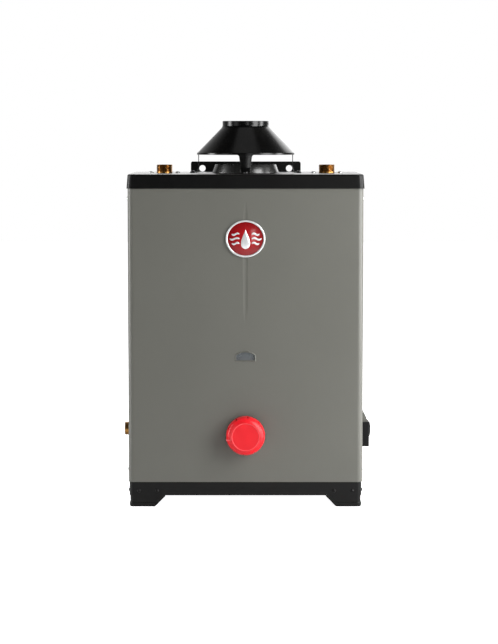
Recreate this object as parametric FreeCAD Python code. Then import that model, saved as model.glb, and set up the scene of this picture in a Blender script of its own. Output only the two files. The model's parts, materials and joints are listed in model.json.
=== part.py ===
import FreeCAD, Part
import math
import os

# Gas storage water heater for a wall or floor.  Millimetres.  +Z is up and the front faces -Y.
# The model is drawn about the vertical flue axis and moved along Y at the end, so that the origin is
# the bottom centre of the whole heater, from the control knob to the wall bracket.

V = FreeCAD.Vector
UP, DOWN = V(0, 0, 1), V(0, 0, -1)
FRONT, BACK = V(0, -1, 0), V(0, 1, 0)
LEFT, RIGHT = V(-1, 0, 0), V(1, 0, 0)

# ---- Casing ----------------------------------------------------------------------------------------
BODY_W = 380.0               # outside of the jacket along X
BODY_D = 270.0               # outside of the jacket along Y
CORNER_R = 9.0               # upright corners of the jacket
SHEET = 1.0                  # jacket sheet
JACKET_BOTTOM = 40.7
FRONT_RETURN = 50.0          # how far the front cover wraps round each side
SEAM_GAP = 0.4               # open line between front cover and rear wrapper
LAP_GAP = 0.2                # clearance where one sheet slides inside another
LAP_FRONT = 22.0             # joggled strip ahead of the seam
LAP_REAR = 10.0              # and behind it
LAP_CLEAR_Z = 4.0            # the strip stops this far from the base pan and the top edge
GROOVE_BOTTOM, GROOVE_TOP = 289.0, 505.0
GROOVE_R = 16.0              # section radius of the pressed groove down the front
GROOVE_DEPTH = 0.55
GROOVE_FADE = 40.0           # length over which each end runs out

# ---- Top cover -------------------------------------------------------------------------------------
CAP_SKIRT_BOTTOM = 516.5
CAP_TOP = 539.5
CAP_SHEET = 1.2
CAP_GAP = 0.55               # between the skirt's lower edge and the jacket
CAP_DRAFT = 1.75             # how far the skirt leans in over its height
CAP_EDGE_R = 2.5
CAP_SIDE_RISE = 2.5          # side and rear skirts are shorter than the front one
JACKET_UNDER_CAP = 3.5       # how far the jacket reaches up inside the skirt

# ---- Base and feet ---------------------------------------------------------------------------------
BASE_BOTTOM = 18.6
PAN_TOP = 48.0
BASE_SHEET = 1.2
AIR_INTAKE = 110.0           # square opening in the pan under the burner
AIR_INTAKE_R = 12.0
FOOT_SHEET = 2.0
FOOT_GAP = 0.1
FOOT_TOP = 40.0
FOOT_LENGTH = 40.0           # along the floor, from the corner
FOOT_SLOPE = 17.0            # run of the 45 degree end
FOOT_FLANGE = 14.0           # turned-in sole
FOOT_BEAD = 1.2              # rolled edge at the floor
FOOT_BEAD_H = 7.0
RIVET_Z = 26.0
RIVET_OFFSETS = (17.0, 46.0)  # from the outer corner
RIVET_R = 1.6
RIVET_HEAD_R = 3.1

# ---- Draft hood and flue ---------------------------------------------------------------------------
FLUE_R = 41.0
FLUE_WALL = 2.0
FLUE_ABOVE_CAP = 11.0
FLUE_HOLE_GAP = 3.0
COLLAR_BOTTOM_R, COLLAR_TOP_R = 55.5, 50.5
COLLAR_H = 14.0
COLLAR_SHEET = 1.0
HOOD_SHEET = 1.0
SPIGOT_R = 38.4              # 3 inch vent pipe slides over it
SPIGOT_LENGTH = 8.6
SPIGOT_FLARE_R = 40.4
HOOD_TOP = 625.7
SPIGOT_ROOT_Z = 614.5
CONE_R = 81.0
CONE_RIM_Z = 573.0
CONE_LIP = 3.0               # short upright lip under the cone
LEG_WIDTHS = (15.0, 18.0, 21.0)   # at the cover, half way up and at the cone
LEG_FOOT = 11.0
LEG_FLARE = 3.0
LEG_FILLET = 3.0             # each leg widens by this much where it meets the cone

# ---- Wall bracket ----------------------------------------------------------------------------------
BRACKET_W = 190.0
BRACKET_T = 1.5
BRACKET_BOTTOM = 474.0
BRACKET_BEND_Z = 503.0
BRACKET_TOP = 557.0
BRACKET_STANDOFF = 12.0
BRACKET_CORNER_R = 3.5
BRACKET_HOLE_R = 5.5
BRACKET_HOLE_SPACING = 150.0
BRACKET_HOLE_Z = 545.2

# ---- Water connections -----------------------------------------------------------------------------
NIPPLE_INSET = 30.0          # from each end of the tank
NIPPLE_THREAD_R = 13.35      # 3/4 inch pipe
NIPPLE_THREAD_LENGTH = 12.6
NIPPLE_ABOVE_CAP = 14.0
NIPPLE_BODY_R = 13.0
NIPPLE_BORE_R = 10.45
NIPPLE_HOLE_GAP = 1.3
NIPPLE_DIP = 12.0            # how far the nipple reaches below the tank head
PLATE_T = 1.5
PLATE_W, PLATE_D = 60.0, 34.0
PLATE_SCREW_PITCH = 44.0

# ---- Badge and sight window ------------------------------------------------------------------------
BADGE_Z = 436.0
BADGE_W, BADGE_H = 63.7, 60.0
BADGE_RIM = 3.0
BADGE_T = 3.4
BADGE_DOME = 3.0
BADGE_FIT = 0.15
SIGHT_Z = 237.3              # flat bottom edge of the frame
SIGHT_W, SIGHT_H = 34.0, 17.0
SIGHT_SIDE_H = 11.0          # height of the straight sides below the arch
SIGHT_RIM = 2.0
SIGHT_PROUD = 1.2
SIGHT_GLASS_T = 1.6

# ---- Control knob and gas valve --------------------------------------------------------------------
CONTROL_Z = 118.0
KNOB_R = 31.5
KNOB_BACK = 7.0              # rear edge of the skirt, from the panel
KNOB_SHOULDER = 12.5
KNOB_FACE_R = 23.2
KNOB_PROUD = 31.0
KNOB_WALL = 2.9
KNOB_HUB_R = 8.5
KNOB_HUB_BACK = 6.0
KNOB_INDEX_DEG = 191.0       # seen from the front, counted anticlockwise from +X
KNOB_NOTCHES = 10
KNOB_NOTCH_R = 1.3
KNOB_TRAVEL = 5.0
PANEL_KNOB_HOLE_R = 11.0
STEM_R = 3.0
STEM_FLAT = 2.3              # distance of the flat from the axis
RUNNING_GAP = 0.05
VALVE_W, VALVE_D, VALVE_H = 64.0, 50.0, 58.0
VALVE_FRONT = 34.0           # valve face behind the panel's outside
VALVE_NOSE_R = 18.0
VALVE_NOSE_L = 7.0
PLUG_R = 11.0
PLUG_LENGTH = 26.0
PLUG_END_GAP = 0.3
BONNET_T = 3.0
KNOB_SPRING_R = 6.5
SPRING_WIRE = 0.6            # radius
SPRING_RUNS = 14             # short straight runs in each turn
SPRING_SIDES = 6             # flat sides of the wire
SPRING_TURNS = 4
BUTTON_SPRING_R = 5.2
BUTTON_SPRING_TURNS = 3

# ---- Gas train -------------------------------------------------------------------------------------
INLET_BEHIND_SEAM = 25.0     # gas inlet on the left side and igniter on the right
INLET_Z = 119.0
INLET_R = 10.65              # 1/2 inch pipe
INLET_PROUD = 9.5
INLET_NECK_R = 10.2
INLET_FLANGE_R = 12.5
TUBE_R = 6.0
TUBE_BORE_R = 5.0
TUBE_FIT = 0.1
BURNER_R = 56.0
BURNER_BOTTOM, BURNER_TOP = 198.0, 220.0
VENTURI_R = 16.0
VENTURI_WALL = 1.5
VENTURI_BOTTOM = 144.0
SHIELD_Z = 186.0
PILOT_X, PILOT_Y = 48.0, -50.0
PILOT_PITCH = 8.0

# ---- Igniter ---------------------------------------------------------------------------------------
IGNITER_Z0, IGNITER_Z1 = 91.0, 131.5
IGNITER_PROUD = 13.4
IGNITER_W = 34.0
IGNITER_WALL = 1.8
CANOPY_TOP_Z = 146.6
CANOPY_PROUD_TOP, CANOPY_PROUD_BOTTOM = 5.4, 11.7
CANOPY_W = 30.0
BUTTON_R = 12.3
BUTTON_Z = 118.0
BUTTON_PROUD = 16.4
BUTTON_TRAVEL = 4.0
BUTTON_STEM = 4.0            # how far the button's stem reaches in behind the jacket
BUTTON_GAP = 0.35
PIEZO_R = 8.0

# ---- Tank ------------------------------------------------------------------------------------------
TANK_TO_SIDE, TANK_TO_FRONT = 25.0, 27.0   # from the tank to the outside of the jacket
TANK_WALL = 2.5
TANK_BOTTOM, TANK_TOP = 282.0, 476.0
HEAD_T = 3.0
HEAD_FLANGE = 8.0
WELD_GAP = 0.1
FIREBOX_SHEET = 1.2
INSULATION_GAP = 0.6
SPUD_R = 19.0
SPUD_H = 22.0
ANODE_X, ANODE_Y = -82.0, 48.0
ANODE_R = 9.0
SENSOR_X, SENSOR_Z = -45.0, 310.0
BULB_R = 4.0

# ---- Fasteners -------------------------------------------------------------------------------------
SCREW_HEAD_R = 3.8
SCREW_HEAD_H = 2.9
SCREW_R = 1.9
SCREW_LENGTH = 8.0
SCREW_HOLE_GAP = 0.15
SIDE_SCREW_Y = 38.0          # behind the front
SIDE_SCREW_INSET = 17.0      # from the jacket's top and bottom edges

# ---- Places that follow from the sizes -------------------------------------------------------------
PANEL_Y = -BODY_D / 2                       # outside of the front
REAR_Y = BODY_D / 2
SIDE_X = BODY_W / 2
JACKET_TOP = CAP_SKIRT_BOTTOM + JACKET_UNDER_CAP
SEAM_Y = PANEL_Y + FRONT_RETURN
INLET_Y = SEAM_Y + INLET_BEHIND_SEAM
TANK_W = BODY_W - 2 * TANK_TO_SIDE
TANK_D = BODY_D - 2 * TANK_TO_FRONT
NIPPLE_X = TANK_W / 2 - NIPPLE_INSET
BASE_W = BODY_W - 2 * (SHEET + LAP_GAP)
BASE_D = BODY_D - 2 * (SHEET + LAP_GAP)
BASE_R = CORNER_R - SHEET - LAP_GAP
FOOT_INSET = BASE_SHEET + FOOT_GAP
FOOT_W = BASE_W - 2 * FOOT_INSET
FOOT_D = BASE_D - 2 * FOOT_INSET
FOOT_R = BASE_R - FOOT_INSET
NIPPLE_TOP = CAP_TOP + NIPPLE_ABOVE_CAP
HEAD_TOP_Z = TANK_TOP - HEAD_FLANGE         # upper face of the tank's top head
VALVE_Y = PANEL_Y + VALVE_FRONT             # front face of the valve body
NOSE_Y = VALVE_Y - VALVE_NOSE_L
BONNET_Y = NOSE_Y - BONNET_T
ORIGIN_SHIFT_Y = (KNOB_PROUD - BRACKET_STANDOFF - BRACKET_T) / 2


def outline(w, d, r, z):
    """Closed wire of a rectangle w by d with corners of radius r, centred on the Z axis at height z."""
    hx, hy = w / 2, d / 2
    r = min(r, hx, hy)
    arcs = []
    for sx, sy, start in ((1, -1, -90), (1, 1, 0), (-1, 1, 90), (-1, -1, 180)):
        centre = V(sx * (hx - r), sy * (hy - r), z)
        turns = [math.radians(start + step) for step in (0, 45, 90)]
        arcs.append([centre + V(r * math.cos(a), r * math.sin(a), 0) for a in turns])
    edges = []
    for this, following in zip(arcs, arcs[1:] + arcs[:1]):
        edges.append(Part.Arc(*this).toShape())
        if this[2].distanceToPoint(following[0]) > 1e-6:
            edges.append(Part.makeLine(this[2], following[0]))
    return Part.Wire(edges)


def prism(w, d, r, z0, z1):
    """Upright block with round corners."""
    return Part.Face(outline(w, d, r, z0)).extrude(V(0, 0, z1 - z0))


def ring(w, d, r, t, z0, z1):
    """Upright wall of thickness t inside a rounded rectangle."""
    inner_r = max(r - t, 0.5)
    return prism(w, d, r, z0, z1).cut(prism(w - 2 * t, d - 2 * t, inner_r, z0 - 1, z1 + 1))


def block(x0, x1, y0, y1, z0, z1):
    """Plain block between two corners."""
    return Part.makeBox(x1 - x0, y1 - y0, z1 - z0, V(x0, y0, z0))


def rod(r, start, axis, length):
    return Part.makeCylinder(r, length, start, axis)


def placed(shape, at, axis):
    """Turn a shape drawn along +Z to run along axis, with its origin at the given point."""
    shape.Placement = FreeCAD.Placement(at, FreeCAD.Rotation(UP, axis))
    return shape


def turned(profile, at=V(0, 0, 0), axis=UP):
    """Solid of revolution of (radius, height) points; a pair of points is an arc through the first."""
    points = [step[-1] if isinstance(step[0], tuple) else step for step in profile]
    edges = []
    for number, here in enumerate(points):
        step = profile[(number + 1) % len(profile)]
        start = V(here[0], 0, here[1])
        if isinstance(step[0], tuple):
            middle, end = (V(p[0], 0, p[1]) for p in step)
            edges.append(Part.Arc(start, middle, end).toShape())
        else:
            edges.append(Part.makeLine(start, V(step[0], 0, step[1])))
    solid = Part.Face(Part.Wire(edges)).revolve(V(0, 0, 0), UP, 360)
    return placed(solid, at, axis)


def extruded(points, vector):
    """Solid swept straight from a polygon of 3-D points."""
    return Part.Face(Part.makePolygon(points + points[:1])).extrude(vector)


def fused(shapes):
    return shapes[0].multiFuse(shapes[1:]).removeSplitter()


def hexagon(centre, across, along, radius):
    """Corners of a hexagon round a centre, in the plane of two directions."""
    turns = [math.radians(60 * corner) for corner in range(6)]
    return [centre + across * (radius * math.cos(a)) + along * (radius * math.sin(a)) for a in turns]


def mirrored_x(shape):
    return shape.mirror(V(0, 0, 0), RIGHT)


def edges_at(shape, z):
    """Edges that lie wholly at one height."""
    return [e for e in shape.Edges if all(abs(v.Z - z) < 1e-6 for v in e.Vertexes)
            and abs(e.BoundBox.ZLength) < 1e-6]


def bent_tube(points, r, bend, bore=0.0):
    """Round tube along straight runs joined by tangent arcs of radius bend."""
    points = [V(*p) for p in points]
    edges = []
    here = points[0]
    for before, corner, after in zip(points, points[1:], points[2:]):
        d1 = (corner - before).normalize()
        d2 = (after - corner).normalize()
        half = d1.getAngle(d2) / 2
        reach = bend * math.tan(half)
        inward = (d2 - d1).normalize()
        middle = corner + inward * (bend / math.cos(half) - bend)
        edges.append(Part.makeLine(here, corner - d1 * reach))
        edges.append(Part.Arc(corner - d1 * reach, middle, corner + d2 * reach).toShape())
        here = corner + d2 * reach
    edges.append(Part.makeLine(here, points[-1]))
    path = Part.Wire(edges)
    start_axis = (points[1] - points[0]).normalize()

    def swept(radius):
        section = Part.Wire(Part.makeCircle(radius, points[0], start_axis))
        return path.makePipeShell([section], True, False)

    return swept(r).cut(swept(bore)) if bore else swept(r)


def screw(at, axis, length=SCREW_LENGTH, head_r=SCREW_HEAD_R, head_h=SCREW_HEAD_H, r=SCREW_R):
    """Pan-head screw with a cross recess: its seat is centred on `at` and its head points along axis."""
    rim_h = 0.4 * head_h
    dome = ((0.62 * head_r, 0.9 * head_h), (head_r, rim_h))
    body = turned([(0, head_h), dome, (head_r, 0), (r, 0), (r, 1 - length), (r - 0.6, -length),
                   (0, -length)])
    reach, half, depth = 0.55 * head_r, 0.12 * head_r, 0.5 * head_h
    for x, y in ((reach, half), (half, reach)):
        body = body.cut(block(-x, x, -y, y, head_h - depth, head_h + 1))
    return placed(body, at, axis)


def coil_spring(at, axis, coil_r, length, turns):
    """Compression spring between two parallel seats; its wire is drawn with flat sides in short runs."""
    rise = length - 2 * SPRING_WIRE
    count = SPRING_RUNS * turns

    def corner(number, side):
        a, b = 2 * math.pi * number / SPRING_RUNS, 2 * math.pi * side / SPRING_SIDES
        r = coil_r + SPRING_WIRE * math.cos(b)
        return V(r * math.cos(a), r * math.sin(a), SPRING_WIRE * (1 + math.sin(b)) + rise * number / count)

    sides = range(SPRING_SIDES)
    faces = [[corner(end, side) for side in sides] for end in (0, count)]
    for number in range(count):
        for side in sides:
            p, q = corner(number, side), corner(number + 1, side)
            r, s = corner(number + 1, side + 1), corner(number, side + 1)
            faces += [[p, q, r], [p, r, s]]
    shell = Part.makeShell([Part.Face(Part.makePolygon(points + points[:1])) for points in faces])
    shell.sewShape()
    return placed(Part.makeSolid(shell), at, axis)


# ---- Casing ----------------------------------------------------------------------------------------
def sight_profile(margin, y):
    """Arched outline of the sight window, grown by margin, in the plane at y."""
    half = SIGHT_W / 2 + margin
    low, side, top = SIGHT_Z - margin, SIGHT_Z + SIGHT_SIDE_H, SIGHT_Z + SIGHT_H + margin
    a, b, c, d = V(-half, y, low), V(half, y, low), V(half, y, side), V(-half, y, side)
    lines = [Part.makeLine(a, b), Part.makeLine(b, c), Part.makeLine(d, a)]
    arch = Part.Arc(c, V(0, y, top), d).toShape()
    return Part.Face(Part.Wire([lines[0], lines[1], arch, lines[2]]))


def groove_cutter():
    """Long bead that fades out at both ends: a cylinder with a slim cone at each end."""
    centre_y = PANEL_Y + GROOVE_DEPTH - GROOVE_R
    low, high = GROOVE_BOTTOM + GROOVE_FADE, GROOVE_TOP - GROOVE_FADE
    slim = GROOVE_R - GROOVE_DEPTH - 0.05
    middle = rod(GROOVE_R, V(0, centre_y, low), UP, high - low)
    ends = [Part.makeCone(GROOVE_R, slim, GROOVE_FADE, V(0, centre_y, z), axis)
            for z, axis in ((low, DOWN), (high, UP))]
    return fused([middle] + ends)


def side_screw_places():
    low, high = JACKET_BOTTOM + SIDE_SCREW_INSET, CAP_SKIRT_BOTTOM - SIDE_SCREW_INSET
    return [(side, PANEL_Y + SIDE_SCREW_Y, z) for side in (LEFT, RIGHT) for z in (low, high)]


def side_screw_holes(shape):
    for side, y, z in side_screw_places():
        hole = rod(SCREW_R + SCREW_HOLE_GAP, V(side.x * (SIDE_X - 5), y, z), side, 8)
        shape = shape.cut(hole)
    return shape


def front_cover():
    shell = ring(BODY_W, BODY_D, CORNER_R, SHEET, JACKET_BOTTOM, JACKET_TOP)
    shell = shell.common(block(-SIDE_X - 1, SIDE_X + 1, PANEL_Y - 1, SEAM_Y, 0, CAP_TOP))
    shell = shell.cut(groove_cutter())
    shell = shell.cut(rod(PANEL_KNOB_HOLE_R, V(0, PANEL_Y - 1, CONTROL_Z), BACK, 5))
    shell = shell.cut(sight_profile(-SIGHT_RIM / 2, PANEL_Y - 1).extrude(V(0, 5, 0)))
    return side_screw_holes(shell)


def rear_wrapper():
    shell = ring(BODY_W, BODY_D, CORNER_R, SHEET, JACKET_BOTTOM, JACKET_TOP)
    shell = shell.common(block(-SIDE_X - 1, SIDE_X + 1, SEAM_Y + SEAM_GAP, REAR_Y + 1, 0, CAP_TOP))
    low, high = PAN_TOP + LAP_CLEAR_Z, JACKET_TOP - LAP_CLEAR_Z
    outside, rear = SIDE_X - SHEET, SEAM_Y + LAP_REAR
    inside = outside - LAP_GAP - SHEET
    strip = block(inside, outside - LAP_GAP, SEAM_Y - LAP_FRONT, rear, low, high)
    joggle = block(inside, outside, SEAM_Y + SEAM_GAP, rear, low, high)
    lap = fused([strip, joggle])
    shell = fused([shell, lap, mirrored_x(lap)])
    shell = side_screw_holes(shell)
    shell = shell.cut(rod(INLET_NECK_R + TUBE_FIT, V(-SIDE_X - 1, INLET_Y, INLET_Z), RIGHT, 5))
    shell = shell.cut(rod(PIEZO_R + 0.3, V(SIDE_X + 1, INLET_Y, BUTTON_Z), LEFT, 5))
    for x, z in bracket_screw_places():
        shell = shell.cut(rod(SCREW_R + SCREW_HOLE_GAP, V(x, REAR_Y + 1, z), FRONT, 5))
    return shell


def cap_block(offset, z0, z1):
    """Leaning-sided block inside the top cover's outer surface, by offset, between two heights."""
    def size_at(z):
        lean = CAP_DRAFT * (z - CAP_SKIRT_BOTTOM) / (CAP_TOP - CAP_SKIRT_BOTTOM)
        return 2 * (CAP_SHEET + CAP_GAP - lean - offset)
    corner = CORNER_R + CAP_GAP
    outlines = [outline(BODY_W + size_at(z), BODY_D + size_at(z), corner, z) for z in (z0, z1)]
    return Part.makeLoft(outlines, True, True)


def top_cover():
    shell = cap_block(0, CAP_SKIRT_BOTTOM, CAP_TOP)
    shell = shell.makeFillet(CAP_EDGE_R, edges_at(shell, CAP_TOP))
    shell = shell.cut(cap_block(CAP_SHEET, CAP_SKIRT_BOTTOM - 1, CAP_TOP - CAP_SHEET))
    rise_front = PANEL_Y + CORNER_R
    reach = SIDE_X + CAP_SHEET + CAP_GAP + 1
    shell = shell.cut(block(-reach, reach, rise_front, REAR_Y + 10,
                            CAP_SKIRT_BOTTOM - 1, CAP_SKIRT_BOTTOM + CAP_SIDE_RISE))
    deck = CAP_TOP - CAP_SHEET - 1
    shell = shell.cut(rod(FLUE_R + FLUE_HOLE_GAP, V(0, 0, deck), UP, 5))
    for x in (-NIPPLE_X, NIPPLE_X):
        shell = shell.cut(rod(NIPPLE_THREAD_R + NIPPLE_HOLE_GAP, V(x, 0, deck), UP, 5))
    for x, y in cover_screw_places():
        shell = shell.cut(rod(SCREW_R + SCREW_HOLE_GAP, V(x, y, deck), UP, 5))
    return shell


# ---- Base and feet ---------------------------------------------------------------------------------
def base_pan():
    skirt = ring(BASE_W, BASE_D, BASE_R, BASE_SHEET, BASE_BOTTOM, PAN_TOP)
    plate = prism(BASE_W, BASE_D, BASE_R, PAN_TOP - BASE_SHEET, PAN_TOP)
    pan = fused([skirt, plate])
    pan = pan.cut(prism(AIR_INTAKE, AIR_INTAKE, AIR_INTAKE_R, BASE_BOTTOM, PAN_TOP + 1))
    for start, axis in rivet_places():
        pan = pan.cut(rod(RIVET_R + SCREW_HOLE_GAP, start + axis * 2, axis * -1, 8))
    return pan


def rivet_places():
    """Centres of the rivet heads' seats on the base skirt, with their outward axes."""
    places = []
    for sx in (-1, 1):
        for sy in (-1, 1):
            for offset in RIVET_OFFSETS:
                places.append((V(sx * (SIDE_X - offset), sy * BASE_D / 2, RIVET_Z), V(0, sy, 0)))
                places.append((V(sx * BASE_W / 2, sy * (BODY_D / 2 - offset), RIVET_Z), V(sx, 0, 0)))
    return places


def rivet(at, axis):
    grip = BASE_SHEET + FOOT_GAP + FOOT_SHEET
    dome = ((0.7 * RIVET_HEAD_R, 1.3), (RIVET_HEAD_R, 0))
    tail = 0.8 * RIVET_HEAD_R
    return turned([(0, 1.8), dome, (RIVET_R, 0), (RIVET_R, -grip), (tail, -grip), (tail, -grip - 1.2),
                   (0, -grip - 1.2)], at, axis)


def foot(sx, sy):
    """Corner foot: a pressed angle with a sole turned in and a rolled edge at the floor."""
    wall = ring(FOOT_W, FOOT_D, FOOT_R, FOOT_SHEET, 0, FOOT_TOP)
    sole = ring(FOOT_W, FOOT_D, FOOT_R, FOOT_FLANGE, 0, FOOT_SHEET)
    bead = prism(FOOT_W + 2 * FOOT_BEAD, FOOT_D + 2 * FOOT_BEAD, FOOT_R + FOOT_BEAD, 0, FOOT_BEAD_H)
    bead = bead.makeFillet(FOOT_BEAD_H * 0.4, edges_at(bead, 0))
    bead = bead.makeFillet(FOOT_BEAD * 0.9, edges_at(bead, FOOT_BEAD_H))
    inner_w, inner_d = FOOT_W - 2 * FOOT_SHEET, FOOT_D - 2 * FOOT_SHEET
    bead = bead.cut(prism(inner_w, inner_d, FOOT_R - FOOT_SHEET, -1, FOOT_TOP))
    angle = fused([wall, sole, bead])
    far = SIDE_X + 5
    half_x, half_y = FOOT_W / 2 - FOOT_LENGTH, FOOT_D / 2 - FOOT_LENGTH
    toe = [(half_x, -1), (far, -1), (far, FOOT_TOP + 1), (half_x - FOOT_SLOPE, FOOT_TOP + 1),
           (half_x - FOOT_SLOPE, FOOT_SLOPE), (half_x, 0)]
    along_x = extruded([V(sx * u, -far, z) for u, z in toe], V(0, 2 * far, 0))
    shift = half_y - half_x
    along_y = extruded([V(-far, sy * (u + shift), z) for u, z in toe], V(2 * far, 0, 0))
    angle = angle.common(along_x).common(along_y)
    for start, axis in rivet_places():
        angle = angle.cut(rod(RIVET_R + SCREW_HOLE_GAP, start + axis * 2, axis * -1, 8))
    return angle


# ---- Flue and draft hood ---------------------------------------------------------------------------
def flue_collar():
    t, low, high = COLLAR_SHEET, CAP_TOP, CAP_TOP + COLLAR_H
    flange_r = FLUE_R + FLUE_HOLE_GAP + 1
    return turned([(flange_r, low), (COLLAR_BOTTOM_R, low), (COLLAR_BOTTOM_R, low + t),
                   (COLLAR_TOP_R, high), (COLLAR_TOP_R - t, high),
                   (COLLAR_BOTTOM_R - 1.4 * t, low + t), (flange_r, low + t)])


def draft_hood():
    """Cone that gathers the flue gas, with the spigot for the vent pipe on top and a short lip below."""
    t = HOOD_SHEET
    spigot_low = HOOD_TOP - SPIGOT_LENGTH
    shoulder = CONE_R - t
    return turned([
        (SPIGOT_R - t, HOOD_TOP), (SPIGOT_R, HOOD_TOP), (SPIGOT_R, spigot_low),
        (SPIGOT_FLARE_R, SPIGOT_ROOT_Z), (CONE_R - 0.4, CONE_RIM_Z + 1.5), (CONE_R, CONE_RIM_Z),
        (CONE_R, CONE_RIM_Z - CONE_LIP), (shoulder, CONE_RIM_Z - CONE_LIP), (shoulder, CONE_RIM_Z),
        (SPIGOT_FLARE_R - 1.4 * t, SPIGOT_ROOT_Z - 0.4), (SPIGOT_R - t, spigot_low - 0.4)])


def hood_leg(angle):
    """Strip that stands on the cover and carries the cone: flared out at the bottom onto a drilled foot."""
    t = HOOD_SHEET
    low, middle, high = (w / 2 for w in LEG_WIDTHS)
    spread = high + LEG_FILLET
    r_out = math.sqrt((CONE_R - t - WELD_GAP) ** 2 - spread ** 2)
    r_in = r_out - t
    top = CONE_RIM_Z - 0.5
    lip = CONE_RIM_Z - CONE_LIP
    bend = CAP_TOP + 9.0
    run = r_out + LEG_FLARE + LEG_FOOT
    side = [(r_in, top), (r_out, top), (r_out, bend), (r_out + LEG_FLARE, CAP_TOP + t),
            (run, CAP_TOP + t), (run, CAP_TOP), (r_in + LEG_FLARE, CAP_TOP), (r_in, bend)]
    section = extruded([V(r, -spread, z) for r, z in side], V(0, 2 * spread, 0))
    right = [(low, CAP_TOP - 1), (low, CAP_TOP + 2), (middle, (CAP_TOP + lip) / 2),
             (high, lip - LEG_FILLET), (high + 0.3 * LEG_FILLET, lip - 0.3 * LEG_FILLET),
             (spread, lip), (spread, top + 1)]
    front = right + [(-y, z) for y, z in reversed(right)]
    leg = section.common(extruded([V(0, y, z) for y, z in front], V(2 * CONE_R, 0, 0)))
    screw_r = hood_screw_radius()
    leg = leg.cut(rod(SCREW_R + SCREW_HOLE_GAP, V(screw_r, 0, CAP_TOP - 1), UP, 5))
    leg.rotate(V(0, 0, 0), UP, angle)
    return leg


def hood_screw_radius():
    return CONE_R + LEG_FLARE + LEG_FOOT / 2 - HOOD_SHEET


def cover_screw_places():
    """Centres of the screws on the cover: two beside each nipple and one in each leg of the hood."""
    beside = [(sx * NIPPLE_X + dx, 0.0) for sx in (-1, 1)
              for dx in (-PLATE_SCREW_PITCH / 2, PLATE_SCREW_PITCH / 2)]
    r = hood_screw_radius()
    return beside + [(r, 0.0), (0.0, r), (-r, 0.0), (0.0, -r)]


def cover_screws():
    seats = [CAP_TOP] * 4 + [CAP_TOP + HOOD_SHEET] * 4
    return [screw(V(x, y, z), UP) for (x, y), z in zip(cover_screw_places(), seats)]


def flue_tube():
    low, high = TANK_BOTTOM + HEAD_FLANGE - 4, CAP_TOP + FLUE_ABOVE_CAP
    return rod(FLUE_R, V(0, 0, low), UP, high - low).cut(rod(FLUE_R - FLUE_WALL, V(0, 0, low - 1), UP, 400))


def flue_baffle():
    """Flat strip with half-round deflectors that turn the hot gas from side to side."""
    reach = FLUE_R - FLUE_WALL - 2
    low, high = TANK_BOTTOM + 12, CAP_TOP - 15
    pieces = [block(-reach, reach, -0.75, 0.75, low, high)]
    count = 6
    pitch = (high - low) / count
    for number in range(count):
        disc = rod(reach, V(0, 0, low + (number + 0.5) * pitch), UP, 1.5)
        side = 1 if number % 2 else -1
        half = block(-60, 60, min(0, side * 60), max(0, side * 60), 0, CAP_TOP)
        pieces.append(disc.common(half))
    return fused(pieces)


# ---- Wall bracket ----------------------------------------------------------------------------------
def bracket_screw_places():
    z = BRACKET_BOTTOM + (BRACKET_BEND_Z - BRACKET_BOTTOM) / 2
    return [(side * BRACKET_W * share, z) for side in (-1, 1) for share in (0.16, 0.42)]


def wall_bracket():
    """Strip screwed to the back, bent away from it and then straight up to its two hanging holes."""
    t, near, far = BRACKET_T, REAR_Y, REAR_Y + BRACKET_STANDOFF
    diagonal = 0.586 * t
    bend = BRACKET_BEND_Z
    half = BRACKET_W / 2
    points = [(near, BRACKET_BOTTOM), (near + t, BRACKET_BOTTOM), (near + t, bend - diagonal),
              (far + t, bend + BRACKET_STANDOFF - diagonal), (far + t, BRACKET_TOP), (far, BRACKET_TOP),
              (far, bend + BRACKET_STANDOFF), (near, bend)]
    plate = extruded([V(-half, y, z) for y, z in points], V(BRACKET_W, 0, 0))
    corners = [e for z in (BRACKET_BOTTOM, BRACKET_TOP) for e in edges_at(plate, z)
               if abs(e.BoundBox.XLength) < 1e-6]
    plate = plate.makeFillet(BRACKET_CORNER_R, corners)
    for side in (-1, 1):
        x = side * BRACKET_HOLE_SPACING / 2
        plate = plate.cut(rod(BRACKET_HOLE_R, V(x, far - 1, BRACKET_HOLE_Z), BACK, 5))
    for x, z in bracket_screw_places():
        plate = plate.cut(rod(SCREW_R + SCREW_HOLE_GAP, V(x, near - 1, z), BACK, 5))
    return plate


# ---- Water connections and tank --------------------------------------------------------------------
def water_nipple(x):
    thread_low = NIPPLE_TOP - NIPPLE_THREAD_LENGTH
    low = HEAD_TOP_Z - HEAD_T - NIPPLE_DIP
    profile = [(NIPPLE_BORE_R, low), (NIPPLE_BODY_R, low), (NIPPLE_BODY_R, thread_low),
               (NIPPLE_THREAD_R, thread_low), (NIPPLE_THREAD_R, NIPPLE_TOP), (NIPPLE_BORE_R, NIPPLE_TOP)]
    return turned(profile, V(x, 0, 0))


def nipple_plate(x):
    """Stiffening plate under the cover, held by the two screws beside the nipple."""
    top = CAP_TOP - CAP_SHEET
    plate = prism(PLATE_W, PLATE_D, PLATE_D / 2, top - PLATE_T, top)
    plate = plate.cut(rod(NIPPLE_BODY_R + NIPPLE_HOLE_GAP, V(0, 0, top - 5), UP, 10))
    for dx in (-PLATE_SCREW_PITCH / 2, PLATE_SCREW_PITCH / 2):
        plate = plate.cut(rod(SCREW_R + SCREW_HOLE_GAP, V(dx, 0, top - 5), UP, 10))
    plate.translate(V(x, 0, 0))
    return plate


def tank_shell():
    shell = ring(TANK_W, TANK_D, TANK_D / 2, TANK_WALL, TANK_BOTTOM, TANK_TOP)
    return shell.cut(rod(BULB_R + TUBE_FIT, V(SENSOR_X, -TANK_D / 2 - 5, SENSOR_Z), BACK, 10))


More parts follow.
